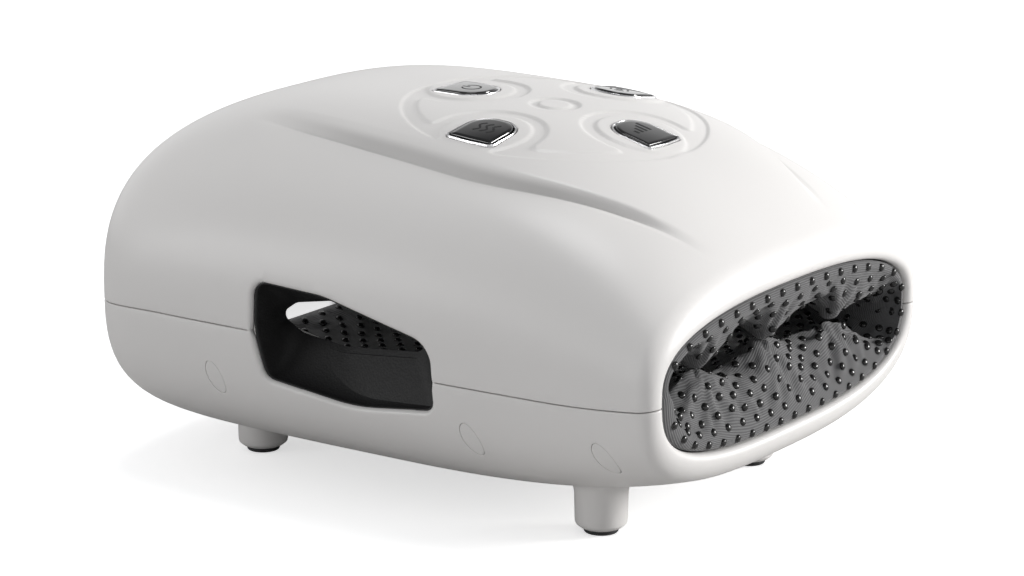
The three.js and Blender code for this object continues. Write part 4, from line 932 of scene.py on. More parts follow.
# %% Buttons and rims
RIM_WIDTH = 0.8
RIM_FOOT = -2.85
RIM_CROWN = [(0, 0.0), (0.05, 0.07), (0.15, 0.1), (0.3, 0.1), (0.4, 0.04), (0.46, -0.1)]
RIM_DIP = -0.6
SLIDE_GAP = 0.35
BUTTON_EDGE = 0.42
BUTTON_DOME = 0.28
DOME_MIDDLE, DOME_HALF = (0.6, 0), (9.8, 9.4)
CAP_SKIRT = 0.4
CAP_EDGE = ((0.06, 0.16), (0.16, 0.06), (0.32, 0.0))
CAP_SHARES = (0.85, 0.7, 0.55, 0.4, 0.25, 0.12)
FLANGE = 1.0
FLANGE_REACH = 0.9
STEM_RADIUS = 1.6
STEM_ROOM = 7.8
BOARD_DROP = 10.4
board_top = min(spot[2] for spot, _ in button_places.values()) - BOARD_DROP


def placed(outline, height, place):
    spot, axes = place
    height = np.broadcast_to(height, len(outline))
    return spot + np.column_stack([outline, height]) @ axes


def dome_height(outline):
    share = np.linalg.norm((outline - DOME_MIDDLE) / DOME_HALF, axis=1)
    return BUTTON_EDGE + BUTTON_DOME * (1 - np.minimum(share, 1) ** 2)


def button_rings(place):
    spot, axes = place
    cap = grown(pick_outline, -RIM_WIDTH - SLIDE_GAP)
    flange_top = RIM_FOOT - SEAT_GAP
    stem = STEM_RADIUS * unit(cap)
    lean = math.hypot(axes[2][0], axes[2][1])
    stem_room = spot[2] - board_top - STEM_ROOM + RIM_WIDTH + SEAT_GAP - STEM_RADIUS * lean
    stem_end = -stem_room / axes[2][2]
    flange = grown(cap, FLANGE_REACH)
    rings = [(stem, stem_end), (stem, flange_top - FLANGE)]
    rings += [(flange, flange_top - FLANGE), (flange, flange_top)]
    rings += [(cap, flange_top), (cap, BUTTON_EDGE - CAP_SKIRT)]
    for inset, drop in CAP_EDGE:
        edge = grown(cap, -inset)
        rings.append((edge, dome_height(edge) - drop))
    for share in CAP_SHARES:
        edge = grown(cap, -CAP_EDGE[-1][0]) * share
        rings.append((edge, dome_height(edge)))
    return [placed(outline, height, place) for outline, height in rings]


def rim_rings(place):
    profile = [(0, RIM_FOOT), *RIM_CROWN, (RIM_WIDTH, RIM_DIP), (RIM_WIDTH, RIM_FOOT)]
    return [placed(grown(pick_outline, -inset), height, place) for inset, height in profile]


for name, place in button_places.items():
    button = f"{name}_button"
    add_loft(f"{button}_cap", button_rings(place), button, "button_black", [button])
    rim = rim_rings(place)
    add_loft(f"{name}_rim_ring", rim, "case", "chrome_trim", [f"{button}_rim"], sleeve=True)
print("buttons and rims:", len(button_places), "of each")

# %% [markdown]
# ## Marks on the buttons
# Each button has a plain mark printed on it: a ring with a bar for power, three wavy lines for
# heat, bars of rising length for level, and a ring of dashes for mode. A texture could carry them,
# but it would blur up close and wouldn't be exported as a shape. So they are thin strips of mesh
# that follow the dome.

# %% Marks
MARK_PROUD = 0.03
MARK_SINK = 0.15


def mark_strip(path, width):
    """A strip of one width along a path in the button's own plane, with a closed section."""
    path = np.asarray(path, float)
    along = unit(np.gradient(path, axis=0))
    side = np.stack([-along[:, 1], along[:, 0]], -1) * width / 2
    left, right = path + side, path - side
    tops = [np.column_stack([edge, dome_height(edge) + MARK_PROUD]) for edge in (left, right)]
    bottoms = [top - (0, 0, MARK_SINK) for top in tops[::-1]]
    return np.stack([tops[0], tops[1], bottoms[0], bottoms[1]], 1)


def wave_path(across, length, sway, waves, count=24):
    t = np.linspace(-0.5, 0.5, count)
    return np.column_stack([t * length, across + sway * np.sin(2 * math.pi * t * waves)])


def arc_path(radius, start, end, count=36):
    turn = np.radians(np.linspace(start, end, count))
    return np.column_stack([radius * np.cos(turn), radius * np.sin(turn)])


def line_path(start, end, count=6):
    return np.linspace(start, end, count)


print("a mark stands", MARK_PROUD, "mm proud of its button")

# %% The four marks: each stroke is a path and its width
LEVEL_BARS = ((3.0, 5.6), (1.0, 4.4), (-1.0, 3.2), (-3.0, 2.0))
LEVEL_END = 1.5
DASH_STARTS, DASH_TURN = (0, 90, 180, 270), 62

marks = dict(
    power=[(arc_path(2.9, 28, 332), 0.55), (line_path((0.6, 0), (3.3, 0)), 0.55)],
    heat=[(wave_path(across, 6.2, 0.75, 1.25), 0.7) for across in (-2.5, 0, 2.5)],
    level=[
        (line_path((LEVEL_END - length, at), (LEVEL_END, at)), 0.95) for at, length in LEVEL_BARS
    ],
    mode=[(arc_path(2.8, start, start + DASH_TURN), 0.55) for start in DASH_STARTS],
)
marks["mode"].append((arc_path(0.9, 0, 359), 0.5))
for name, strokes in marks.items():
    spot, axes = button_places[name]
    points, faces, used = [], [], 0
    for path, width in strokes:
        made, joined = facing_out(*loft(mark_strip(path, width)))
        points.append(spot + made @ axes)
        faces.append(joined + used)
        used += len(made)
    mark = make_piece(f"{name}_mark", np.concatenate(points), np.concatenate(faces), sharp=30)
    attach(mark, f"{name}_button")
    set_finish(mark, "foot_rubber")
print("marks:", {name: len(strokes) for name, strokes in marks.items()})

# %% [markdown]
# ## Thumb funnels
# A black funnel leads from each side opening to a narrower slot in the hand space. A straight loft
# between the two outlines would be simplest, but it would meet the case at a sharp slant. Here the
# outline changes along a curve that starts square to the case, so the wall turns in smoothly.

# %% Funnels
DUCT_WALL = 1.6
DUCT_LIP = 0.6
DUCT_RECESS = 1.4
DUCT_STRAIGHT = 78.0
DUCT_END = 68.0
DUCT_BASE = 1.0
DUCT_NECK = 1.5
BACK_SHARES = (1, 0.6, 0.3, 0)
LIP_EDGE = ((0.2, -0.02), (0.4, 0.1), (DUCT_LIP, 0.5))
TURN_RINGS = 22
TURN_POWER, TURN_GAIN, TURN_FADE, TURN_FADE_POWER = 2.1, 1.35, 0.35, 3
STEPS = dict(arc_steps=12, run_steps=10)
duct_outline = corner_outline(THUMB_CORNERS, THUMB_MIDDLE, THUMB_HALF, **STEPS)
slot_outline = corner_outline(SLOT_CORNERS, SLOT_MIDDLE, SLOT_HALF, **STEPS)


def side_reach(spots):
    """How far out the side of the case is at places in the plane seen from the side."""
    y, z = spots[:, 0], spots[:, 1] - MIDDLE_HEIGHT
    up = z > 0
    power = np.where(up, power_at(TOP_POWERS, y), power_at(UNDER_POWERS, y))
    height = np.where(up, form_at(TOP_FORM, y), form_at(UNDER_FORM, y))
    return form_at(SIDE_FORM, y) * (1 - (np.abs(z) / height) ** power) ** (1 / power)


def funnel_rings(side):
    outer = grown(duct_outline, -SEAT_GAP)
    mouth = grown(duct_outline, -SEAT_GAP - DUCT_LIP)
    reach = side_reach(outer) - DUCT_RECESS
    rings = []
    for share in BACK_SHARES:
        x = mix(DUCT_STRAIGHT - DUCT_BASE, reach, 1 - share) if share else reach
        rings.append(np.column_stack([side * x, outer]))
    for inset, sink in LIP_EDGE:
        ring = grown(duct_outline, -SEAT_GAP - inset)
        rings.append(np.column_stack([side * (side_reach(ring) - DUCT_RECESS - sink), ring]))
    for share in np.linspace(0, 1, TURN_RINGS)[1:]:
        bend = share**TURN_POWER * (TURN_GAIN - TURN_FADE * share**TURN_FADE_POWER)
        ring = mix(mouth, slot_outline, np.clip(bend, 0, 1) if share < 1 else 1)
        x = mix(side_reach(mouth) - DUCT_RECESS - LIP_EDGE[-1][1], DUCT_END, share)
        rings.append(np.column_stack([side * x, ring]))
    neck = grown(slot_outline, DUCT_WALL)
    for x in (DUCT_END, DUCT_END + DUCT_NECK):
        rings.append(np.column_stack([np.full(len(neck), side * x), neck]))
    return rings


for name, side in (("left", -1), ("right", 1)):
    funnel, replaced = f"thumb_funnel_{name}", [f"thumb_duct_{name}"]
    add_loft(funnel, funnel_rings(side), "case", "black_plastic", replaced, sleeve=True)
print("thumb funnels:", len(duct_outline), "points a ring")

# %% [markdown]
# ## Legs and pads
# A leg is a slightly conical post on a rubber pad. A cylinder pushed into the case would hide its
# top, but leave it running through the wall. So the leg is turned as on a lathe, a profile spun
# round an axis, and each point of the top rings takes its height from the rounded underside.

# %% Legs and pads
LEG_PLACES = dict(
    front_left=(-40.0, -65.2), front_right=(40.0, -65.2),
    rear_left=(-40.0, 65.2), rear_right=(40.0, 65.2),
)
LEG_BOTTOM = 1.7
LEG_SEAT = 3.0
LEG_SEAT_RADIUS = 5.4
LEG_BORE_RADIUS, LEG_BORE_TOP = 2.8, 6.4
LEG_RADIUS = (7.75, 8.4)
LEG_TOP = 27.0
LEG_TOP_RADIUS = 8.3
LEG_OVERLAP = 0.9
LEG_FLARE, LEG_FLARE_RUN = 0.7, 3.5
LEG_RINGS = 16
LEG_EDGE = [(5.5, 0.0), (6.15, 0.0), (6.35, 0.08), (7.35, 0.85), (7.6, 1.15), (7.75, 1.7)]
PAD_PROFILE = [(4.6, 0.0), (4.95, 0.12), (5.15, 0.4), (5.2, 0.8), (5.2, 2.7)]
PAD_PROFILE += [(2.5, 2.7), (2.5, 6.1)]


def under_height(x, y):
    share = (np.abs(x) / form_at(SIDE_FORM, y)) ** power_at(UNDER_POWERS, y)
    return MIDDLE_HEIGHT - form_at(UNDER_FORM, y) * (1 - share) ** (1 / power_at(UNDER_POWERS, y))


def turned_ring(x, y, radius, height, count=72):
    turn = np.linspace(0, 2 * math.pi, count, endpoint=False)
    radius, height = np.broadcast_to(radius, count), np.broadcast_to(height, count)
    return np.column_stack([x + radius * np.cos(turn), y + radius * np.sin(turn), height])


def leg_rings(x, y):
    foot = [(LEG_BORE_RADIUS, LEG_BORE_TOP), (LEG_BORE_RADIUS, LEG_SEAT)]
    foot += [(LEG_SEAT_RADIUS, LEG_SEAT)]
    foot += [(radius, LEG_BOTTOM + rise) for radius, rise in LEG_EDGE]
    rings = [turned_ring(x, y, radius, height) for radius, height in foot]
    top = under_height(*(turned_ring(x, y, LEG_TOP_RADIUS, 0)[:, :2].T))
    for share in np.linspace(0, 1, LEG_RINGS)[1:]:
        height = mix(LEG_BOTTOM + LEG_EDGE[-1][1], top + LEG_OVERLAP, share)
        radius = mix(*LEG_RADIUS, (height - LEG_BOTTOM) / (LEG_TOP - LEG_BOTTOM))
        near_top = np.clip(1 - (top + LEG_OVERLAP - height) / LEG_FLARE_RUN, 0, 1)
        rings.append(turned_ring(x, y, radius + LEG_FLARE * near_top**2, height))
    return rings


for name, (x, y) in LEG_PLACES.items():
    add_loft(f"leg_post_{name}", leg_rings(x, y), "case", "pearl_case", [f"leg_{name}"])
    pad = [turned_ring(x, y, radius, height) for radius, height in PAD_PROFILE]
    add_loft(f"foot_rubber_{name}", pad, "case", "foot_rubber", [f"foot_pad_{name}"])
print("legs and pads:", len(LEG_PLACES), "of each")

# %% [markdown]
# ## Screw plugs
# Three oval plugs a side cover the case screws. Flat ovals set into the holes would catch the light
# at another angle than the case round them. They are cut from the very skin of the case instead, a
# hair below it, so that their faces carry its curve on.

# %% Plugs
PLUG_SINK = 0.06
PLUG_WALL = 1.4
PLUG_PATCH = 4
PLUG_SPLITS = 2


def make_plug(name, side, place):
    near = plug_distance(skin_points, place) < PLUG_PATCH
    near &= side * skin_points[:, 0] > PLUG_FROM_X
    faces = skin_faces[near[skin_faces].all(1)]
    points, faces = tidy_mesh(skin_points, faces)
    for _ in range(PLUG_SPLITS):
        points, faces = split_near(points, faces, np.ones(len(points), bool))

    def field_of(spots):
        return -PLUG_ROUND - plug_distance(spots, place)

    cut = cut_where(points, faces, np.zeros(len(points)), field_of, PLUG_ROUND)
    points, faces, radii = tidy_mesh(*cut)
    points = points - PLUG_SINK * vertex_normals(points, faces)
    points, faces, _ = closed_shell(points, faces, radii, np.full(len(points), PLUG_WALL))
    plug = make_piece(f"plug_cover_{name}", points, faces)
    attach(plug, "case")
    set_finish(plug, "pearl_case")
    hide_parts(f"screw_plug_{name}")


for side_name, side in (("left", -1), ("right", 1)):
    for place_name, place in zip(("rear", "middle", "front"), PLUG_PLACES):
        make_plug(f"{side_name}_{place_name}", side, place)
print("plugs:", 2 * len(PLUG_PLACES))

# %% [markdown]
# ## The ring inside the mouth
# A black ring sits just behind the lip and clamps the lining. Only its front edge shows, as a thin
# dark line between the white lip and the fabric. A bevelled curve could draw that line, but the
# ring is a real part with a wall, so it is a sleeve that follows the section of the mouth.

# %% Mouth ring
RING_WALL = 1.6
RING_FRONT, RING_BACK = -102.5, -96.2
RING_POINTS, RING_SAMPLES = 220, 1441


def mouth_section(inset, y):
    turn = np.linspace(0, 2 * math.pi, RING_SAMPLES)
    dense = section_points(np.array(FRONT), turn, inset, np.array(y), dressed=False)
    travel = np.concatenate([[0], np.cumsum(np.linalg.norm(np.diff(dense, axis=0), axis=1))])
    wanted = np.linspace(0, travel[-1], RING_POINTS, endpoint=False)
    return np.stack([np.interp(wanted, travel, dense[:, k]) for k in range(3)], -1)


ring_profile = [
    (SEAT_GAP, RING_BACK), (SEAT_GAP, RING_FRONT + 0.5), (SEAT_GAP + 0.15, RING_FRONT + 0.12),
    (SEAT_GAP + 0.5, RING_FRONT), (RING_WALL, RING_FRONT + 0.15),
    (SEAT_GAP + RING_WALL, RING_FRONT + 0.6), (SEAT_GAP + RING_WALL, RING_BACK),
]
ring = [mouth_section(RIM_INSET + inset, y) for inset, y in ring_profile]
add_loft("mouth_trim", ring, "case", "black_plastic", ["mouth_ring"], sleeve=True)
print("mouth ring:", len(ring), "rings of", RING_POINTS, "points")

# %% [markdown]
# ## Air cushions
# Two air cushions in a dotted, knitted cover fill the hand space. At the mouth the cover starts as
# a soft bead behind the lip, and runs to three pinch points where upper and lower cushion are sewn
# together. Between the pinches it swells into lobes; farther in it leaves room for the hand. The
# cushions could be sculpted, but they have to fit the case's section closely. So each is laid out
# by formula as two grids of points, its face and its back, that share their edges.

# %% The hand chamber's section
CHAMBER = dict(half_width=66.7, rise=30.0, drop=32.0, full_at=-60.0, rear=45.55, power=2.8)
CHAMBER_FRONT = FRONT + 6.3
CUSHION_GAP = 0.6
LINING = RIM_INSET + SEAT_GAP + RING_WALL + CUSHION_GAP
RUN_SAMPLES = 721


def chamber_form(y):
    """Where a cushion's back lies: half width, then height and power above and below."""
    share = ease((y - CHAMBER_FRONT) / (CHAMBER["full_at"] - CHAMBER_FRONT))
    half_width = mix(SIDE_FORM["front"] - LINING, CHAMBER["half_width"] - CUSHION_GAP, share)
    form = {}
    sides = ((1, TOP_FORM, TOP_POWERS, "rise"), (-1, UNDER_FORM, UNDER_POWERS, "drop"))
    for side, front, powers, full in sides:
        height = mix(front["front"] - LINING, CHAMBER[full] - CUSHION_GAP, share)
        form[side] = height, mix(powers[1], CHAMBER["power"], share)
    return half_width, form


def section_run(half_width, form, side, seams, count):
    """Evenly spaced points along one side of a section, between the seams right and left."""
    ends = []
    for seam in seams:
        height, power = form[1 if seam > MIDDLE_HEIGHT else -1]
        ends.append(math.asin(signed_power((seam - MIDDLE_HEIGHT) / height, power / 2)))
    start, end = ends[0], math.pi - ends[1]
    angle = np.linspace(start, end if side > 0 else end - 2 * math.pi, RUN_SAMPLES)
    up = np.sin(angle) > 0
    height, power = (np.where(up, form[1][k], form[-1][k]) for k in (0, 1))
    x = half_width * signed_power(np.cos(angle), 2 / power)
    z = MIDDLE_HEIGHT + height * signed_power(np.sin(angle), 2 / power)
    travel = np.concatenate([[0], np.cumsum(np.hypot(np.diff(x), np.diff(z)))])
    wanted = np.linspace(0, travel[-1], count)
    return np.interp(wanted, travel, x), np.interp(wanted, travel, z)


print("the hand chamber is up to", 2 * CHAMBER["half_width"], "mm wide")

# %% Where the two cushions meet
MEET_HEIGHT = 53.8
MEET_SAG = 7.4
MEET_SAG_REACH = 64.0
MEET_SAG_END = 80
SAG_ENDS = 32.0
PINCH_Y = -94.0
PINCH_PITCH = 38.3
PINCH_GAP = 0.25
PINCHES = (-1, 0, 1)
SLOT_ROOM = 2.4
SLOT_PART = dict(room=5.0, power=4, root=3)


def meet_height(x, y):
    """The cover hangs a little lower towards the right of the mouth, as a sewn liner does."""
    sag = MEET_SAG * (np.clip(x, 0, MEET_SAG_END) / MEET_SAG_REACH) ** 2
    return MEET_HEIGHT - sag * (1 - ease((y - PINCH_Y) / SAG_ENDS))


def seam_edge(y, hand, side):
    """Height of a cushion's edge, right (hand 1) or left; it parts round the thumb slot."""
    seam = float(meet_height(hand * MEET_SAG_REACH, y))
    off = abs((y - SLOT_MIDDLE[0]) / (SLOT_HALF[0] + SLOT_PART["room"]))
    open_share = max(0.0, 1 - off ** SLOT_PART["power"]) ** (1 / SLOT_PART["root"])
    return mix(seam, SLOT_MIDDLE[1] + side * (SLOT_HALF[1] + SLOT_ROOM), open_share)


print("pinches:", len(PINCHES), "at", PINCH_PITCH, "mm")

# %% The face between the pinches
TUNNEL = {1: 8.5, -1: 6.0}
TUNNEL_PEAK = {1: 0.7, -1: 0.5}
TUNNEL_POWER = 1.6
HAND_HALF = 9.5
PINCH_FADE = 20.0
REAR_ROLL = dict(start=22.0, run=23.0, half=5.8)
RIDGE_DRIFT = 13.0
GATHER = dict(height=0.8, count=9, turn=1.3, rise=4, fade=7)
FOLD_SPAN = (0.9, 0.08)
FOLDS = [
    (-1, 7.0, -97.5, 0.8), (-1, 13.0, -98.5, 0.6), (0, 12.0, -98.0, 1.3), (0, 5.0, -99.5, 0.8),
    (0, 19.0, -96.5, 0.7), (1, 17.0, -99.5, 1.3), (1, 8.0, -99.0, 0.9), (0, -9.0, -98.0, 0.6),
]
FOLD_WIDTH = 1.1
BEAD_END_Y = -103.95


def inner_height(x, y, side):
    """Distance of a cushion's face from the height where the two meet."""
    toward_rim = np.clip((PINCH_Y - y) / (PINCH_Y - BEAD_END_Y), 0, 1)
    drifted = x - (RIDGE_DRIFT * toward_rim if side < 0 else 0)
    part = (drifted / PINCH_PITCH) % 1
    off = np.minimum(part / TUNNEL_PEAK[side], (1 - part) / (1 - TUNNEL_PEAK[side]))
    front = PINCH_GAP + TUNNEL[side] * (1 - (1 - off) ** TUNNEL_POWER)
    hand = HAND_HALF
    if side < 0:
        share = ease((y - REAR_ROLL["start"]) / REAR_ROLL["run"])
        hand = mix(HAND_HALF, REAR_ROLL["half"], share)
    return mix(front, hand, ease((y - PINCH_Y) / PINCH_FADE))


def gathers(x, y, side):
    """Small folds that run out from each pinch, and a few long ones in the lower cover."""
    total = 0
    for k in PINCHES:
        dx, dy = x - k * PINCH_PITCH, y - PINCH_Y
        reach, turn = np.hypot(dx, dy), np.arctan2(dy, dx)
        swing = np.cos(GATHER["count"] * turn + GATHER["turn"] * k + side)
        size = GATHER["height"] * reach / GATHER["rise"] * np.exp(-reach / GATHER["fade"])
        total = total + size * swing
    if side > 0:
        return total
    for k, across, end, depth in FOLDS:
        dx, dy = x - k * PINCH_PITCH, y - PINCH_Y
        run = np.array((across, end - PINCH_Y))
        share = np.clip((dx * run[0] + dy * run[1]) / (run @ run), 0, 1)
        away = (dx * run[1] - dy * run[0]) / np.linalg.norm(run)
        beyond = np.hypot(dx - share * run[0], dy - share * run[1])
        fade = np.sin(math.pi * np.clip(share * FOLD_SPAN[0] + FOLD_SPAN[1], 0, 1))
        bump = np.exp(0.5 - (beyond / FOLD_WIDTH) ** 2 / 2)
        total = total - depth * fade * away / FOLD_WIDTH * bump
    return total


print("long folds in the lower cover:", len(FOLDS))

# %% The bead behind the lip
BEAD = dict(y=-102.0, inset=9.5, radius=2.15, turn=115.0, back=-102.9, back_inset=7.6)
COVER_COLUMNS = 77
FLAP = dict(reach=3.4, height=46.0, half=11.0, rise=1.6, from_x=40, run=10, power=1.5, fade=5)


def flap_shift(x, z, share):
    """The cover's fold at the left of the mouth stands a little farther out."""
    near = ease((FLAP["half"] - np.abs(z - FLAP["height"])) / FLAP["half"] * FLAP["rise"])
    near = near * ease((-x - FLAP["from_x"]) / FLAP["run"])
    return FLAP["reach"] * near * share


def bead_rows(side, count=6):
    front = {1: (TOP_FORM["front"], TOP_POWERS[1]), -1: (UNDER_FORM["front"], UNDER_POWERS[1])}
    seams = [seam_edge(FRONT, hand, side) for hand in (1, -1)]
    faces, backs = [], []
    for turn in np.radians(np.linspace(0, BEAD["turn"], count + 1)[:-1]):
        share = turn / math.radians(BEAD["turn"])
        face_inset = BEAD["inset"] - BEAD["radius"] * math.cos(turn)
        face_y = BEAD["y"] - BEAD["radius"] * math.sin(turn)
        back_inset = mix(BEAD["back_inset"], LINING, share)
        for inset, y, made in ((face_inset, face_y, faces), (back_inset, BEAD["back"], backs)):
            form = {k: (height - inset, power) for k, (height, power) in front.items()}
            x, z = section_run(SIDE_FORM["front"] - inset, form, side, seams, COVER_COLUMNS)
            if made is faces:
                x = x + flap_shift(x, z, share ** FLAP["power"])
            made.append(np.column_stack([x, np.full(len(x), y), z]))
    return faces, backs


print("the bead's radius is", BEAD["radius"], "mm")

# %% Grids of a cushion's face and back
COVER_EDGE = 2.0
BEAD_EDGE = 0.95
SIDE_PAD, LEAST_PAD = 2.4, 0.1
COVER_STEP = 2.2
FILM_ROOM = 1.6
FILM_FRONT, FILM_RUN = -96, 8
HELD_RATE = 9
SOFT_ROOM = 3.0
LEAST_THICK = 0.25
CLIMB_ROWS, CLIMB_EVERY = 400, 6


def inner_row(y, side):
    half_width, form = chamber_form(y)
    lean = FILM_ROOM * ease((y - FILM_FRONT) / FILM_RUN) if side < 0 else 0
    form[side] = form[side][0] - lean, form[side][1]
    seams = [seam_edge(y, hand, side) for hand in (1, -1)]
    x, z = section_run(half_width, form, side, seams, COVER_COLUMNS)
    wall = np.maximum(side * (z - meet_height(x, y)), 0)
    held = ease(np.linspace(0, 1, COVER_COLUMNS) * HELD_RATE)
    held = held * ease(np.linspace(1, 0, COVER_COLUMNS) * HELD_RATE)
    swell = math.sin(math.pi / 2 * np.clip((y - BEAD_END_Y) / (PINCH_Y - BEAD_END_Y), 0, 1))
    room = wall - inner_height(x, y, side)
    soft = (room + np.hypot(room, SOFT_ROOM)) / 2
    edge = mix(BEAD_EDGE, COVER_EDGE, swell)
    thick = mix(edge, np.maximum(soft, edge) + gathers(x, y, side), swell) * held
    thick = np.minimum(thick, np.maximum(wall - PINCH_GAP, LEAST_THICK * held))
    inward = SIDE_PAD * np.maximum(swell * held, LEAST_PAD)
    fold = flap_shift(x, z, 1 - ease((y - BEAD_END_Y) / FLAP["fade"]))
    face_x = x * (1 - inward / half_width) + fold
    back_y = max(y, BEAD["back"] + (y - BEAD_END_Y) / 2)
    back = np.column_stack([x, np.full(len(x), back_y), z])
    return np.column_stack([face_x, np.full(len(x), y), z - side * thick]), back


def cushion_grids(side):
    """Rows lie close together where the face climbs steeply from the bead."""
    fine = np.linspace(BEAD_END_Y, CHAMBER["rear"] - CUSHION_GAP, CLIMB_ROWS)
    faces = np.array([inner_row(y, side)[0] for y in fine])
    climb = np.linalg.norm(np.diff(faces[:, ::CLIMB_EVERY], axis=0), axis=-1).mean(1)
    travel = np.concatenate([[0], np.cumsum(climb)])
    ys = np.interp(np.linspace(0, travel[-1], round(travel[-1] / COVER_STEP) + 1), travel, fine)
    faces, backs = bead_rows(side)
    for y in ys:
        face, back = inner_row(y, side)
        faces.append(face)
        backs.append(back)
    return np.array(faces), np.array(backs)


# %% Meshes from the two grids
def grid_quads(rows, columns):
    r, c = np.meshgrid(np.arange(rows - 1), np.arange(columns - 1), indexing="ij")
    here = (r * columns + c).ravel()
    return np.stack([here, here + 1, here + columns + 1, here + columns], -1)


def pad_mesh(face, back):
    """Points and quads of a closed pad: the face, the back, and a strip all round."""
    rows_here, columns_here = face.shape[:2]
    count = rows_here * columns_here
    index = np.arange(count).reshape(rows_here, columns_here)
    rim = np.concatenate([index[0, :-1], index[:-1, -1], index[-1, :0:-1], index[:0:-1, 0]])
    onward = np.roll(rim, -1)
    strip = np.stack([onward, rim, rim + count, onward + count], -1)
    quads = grid_quads(rows_here, columns_here)
    points = np.concatenate([face.reshape(-1, 3), back.reshape(-1, 3)])
    return points, np.concatenate([quads, quads[:, ::-1] + count, strip])


def twice_as_fine(grid):
    """One subdivision of a grid, along smooth curves through its points."""
    for _ in range(2):
        padded = np.concatenate([2 * grid[:1] - grid[1:2], grid, 2 * grid[-1:] - grid[-2:-1]])
        middle = (9 * (grid[:-1] + grid[1:]) - padded[:-3] - padded[3:]) / 16
        joined = np.empty((2 * len(grid) - 1, *grid.shape[1:]))
        joined[::2], joined[1::2] = grid, middle
        grid = joined.swapaxes(0, 1)
    return grid


print("a cover has", COVER_COLUMNS, "columns, and", 2 * COVER_COLUMNS - 1, "when twice as fine")

# %% [markdown]
# ## Puffing the cushions up
# A formula gives the lobes but not the slack and the folds of real cloth. They could be sculpted,
# but Blender's cloth simulation finds them by itself: the pad is closed, held at its back, bead,
# rear and pinches, given a little more cloth than it needs and some pressure, and run for twenty
# frames. How far a point may move is capped, so that the cushions never meet.

# %% Cloth simulation
PRESSURE = 4.0
POINT_MASS = 0.001
SPARE_CLOTH = 0.04
CLOTH_QUALITY = 6
CLOTH_BENDING = 0.05
MOVE_CAP = 2.4
FRAMES = 20
HELD_FRONT_ROWS, HELD_EDGE = 8, 2
HELD_REACH = 2.2


def puffed(name, face, back):
    points, quads = pad_mesh(face, back)
    cloth_piece = make_piece(name, points, quads)
    held = cloth_piece.vertex_groups.new(name="held")
    index = np.arange(face.shape[0] * face.shape[1]).reshape(face.shape[:2])
    pinned = np.ones(len(points), bool)
    pinned[index[HELD_FRONT_ROWS:-HELD_EDGE, HELD_EDGE:-HELD_EDGE].ravel()] = False
    for k in PINCHES:
        away = np.hypot(points[:, 0] - k * PINCH_PITCH, points[:, 1] - PINCH_Y)
        pinned |= away < HELD_REACH
    held.add(np.flatnonzero(pinned).tolist(), 1.0, "REPLACE")
    cloth = cloth_piece.modifiers.new("cloth", "CLOTH")
    cloth.settings.effector_weights.gravity = 0
    cloth.settings.use_pressure = True
    cloth.settings.uniform_pressure_force = PRESSURE
    cloth.settings.shrink_min = -SPARE_CLOTH
    cloth.settings.vertex_group_mass = "held"
    cloth.settings.mass = POINT_MASS
    cloth.settings.quality = CLOTH_QUALITY
    cloth.settings.bending_stiffness = CLOTH_BENDING
    cloth.collision_settings.use_collision = False
    for step in range(1, FRAMES + 1):
        bpy.context.scene.frame_set(step)
    result = cloth_piece.evaluated_get(bpy.context.evaluated_depsgraph_get()).data
    moved = np.empty(len(points) * 3)
    result.vertices.foreach_get("co", moved)
    bpy.context.scene.frame_set(1)
    bpy.data.objects.remove(cloth_piece)
    shift = moved.reshape(-1, 3) / MM - points
    length = np.linalg.norm(shift, axis=1, keepdims=True)
    shift *= MOVE_CAP * np.tanh(length / MOVE_CAP) / np.maximum(length, 1e-9)
    kept = float(np.linalg.norm(shift, axis=1).max())
    print(name, "moved", round(float(length.max()), 1), "mm at most, kept", round(kept, 1))
    return face + shift[: index.size].reshape(face.shape)


# %% Both cushions
RIB_SWAY = dict(reach=7.0, from_x=15.0, length=130.0)
COLUMN_WIDTH = 1.25
EDGE_COLUMNS = 20
MEET_HALF_WIDTH = 55
covers = {}


def add_values(piece, name, values):
    layer = piece.data.attributes.new(name, "FLOAT_VECTOR", "POINT")
    layer.data.foreach_set("vector", np.asarray(values, float).ravel())


def cloth_lengths(face, axis):
    """How far along the cloth each row (axis 0) or column (axis 1) lies, in mm, on average."""
    middle = face[:, EDGE_COLUMNS:-EDGE_COLUMNS]
    steps = np.linalg.norm(np.diff(middle, axis=axis), axis=-1).mean(1 - axis)
    return np.concatenate([[0], np.cumsum(steps)])


for name, side in (("upper", 1), ("lower", -1)):
    face, back = cushion_grids(side)
    face = puffed(f"{name}_cloth", face, back)
    limit = meet_height(face[..., 0], face[..., 1]) + side * PINCH_GAP / 2
    inside = np.abs(face[..., 0]) < MEET_HALF_WIDTH
    face[..., 2] = np.where(inside & (side * (face[..., 2] - limit) < 0), limit, face[..., 2])
    face, back = twice_as_fine(face), twice_as_fine(back)
    points, faces = facing_out(*pad_mesh(face, back))
    cover = make_piece(f"{name}_air_cushion", points, faces, sharp=60)
    rows_here, columns_here = face.shape[:2]
    along = np.repeat(cloth_lengths(face, 0)[:, None], columns_here, 1)
    across = np.repeat(np.arange(columns_here)[None] * COLUMN_WIDTH, rows_here, 0)
    if side < 0:
        turn = 2 * math.pi * (face[..., 0] - RIB_SWAY["from_x"]) / RIB_SWAY["length"]
        along = along - RIB_SWAY["reach"] * np.sin(turn)
    flat = np.stack([across, along, 0 * along], -1).reshape(-1, 3)
    add_values(cover, "cloth", np.concatenate([flat, flat]))
    covers[name] = face
    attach(cover, "case")
    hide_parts(f"{name}_cushion")
    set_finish(cover, "liner_knit")
    print(cover.name, rows_here, "rows of", columns_here, "points")

# %% [markdown]
# ## Rubber dots
# Small glossy domes are printed on the cover in staggered rows, to grip the hand. An instance on
# each point of the cover would be quick, but the dots would follow the mesh and not the print. Each
# is placed by lengths measured along the cloth, so the rows bend and crowd together where the cloth
# is gathered.

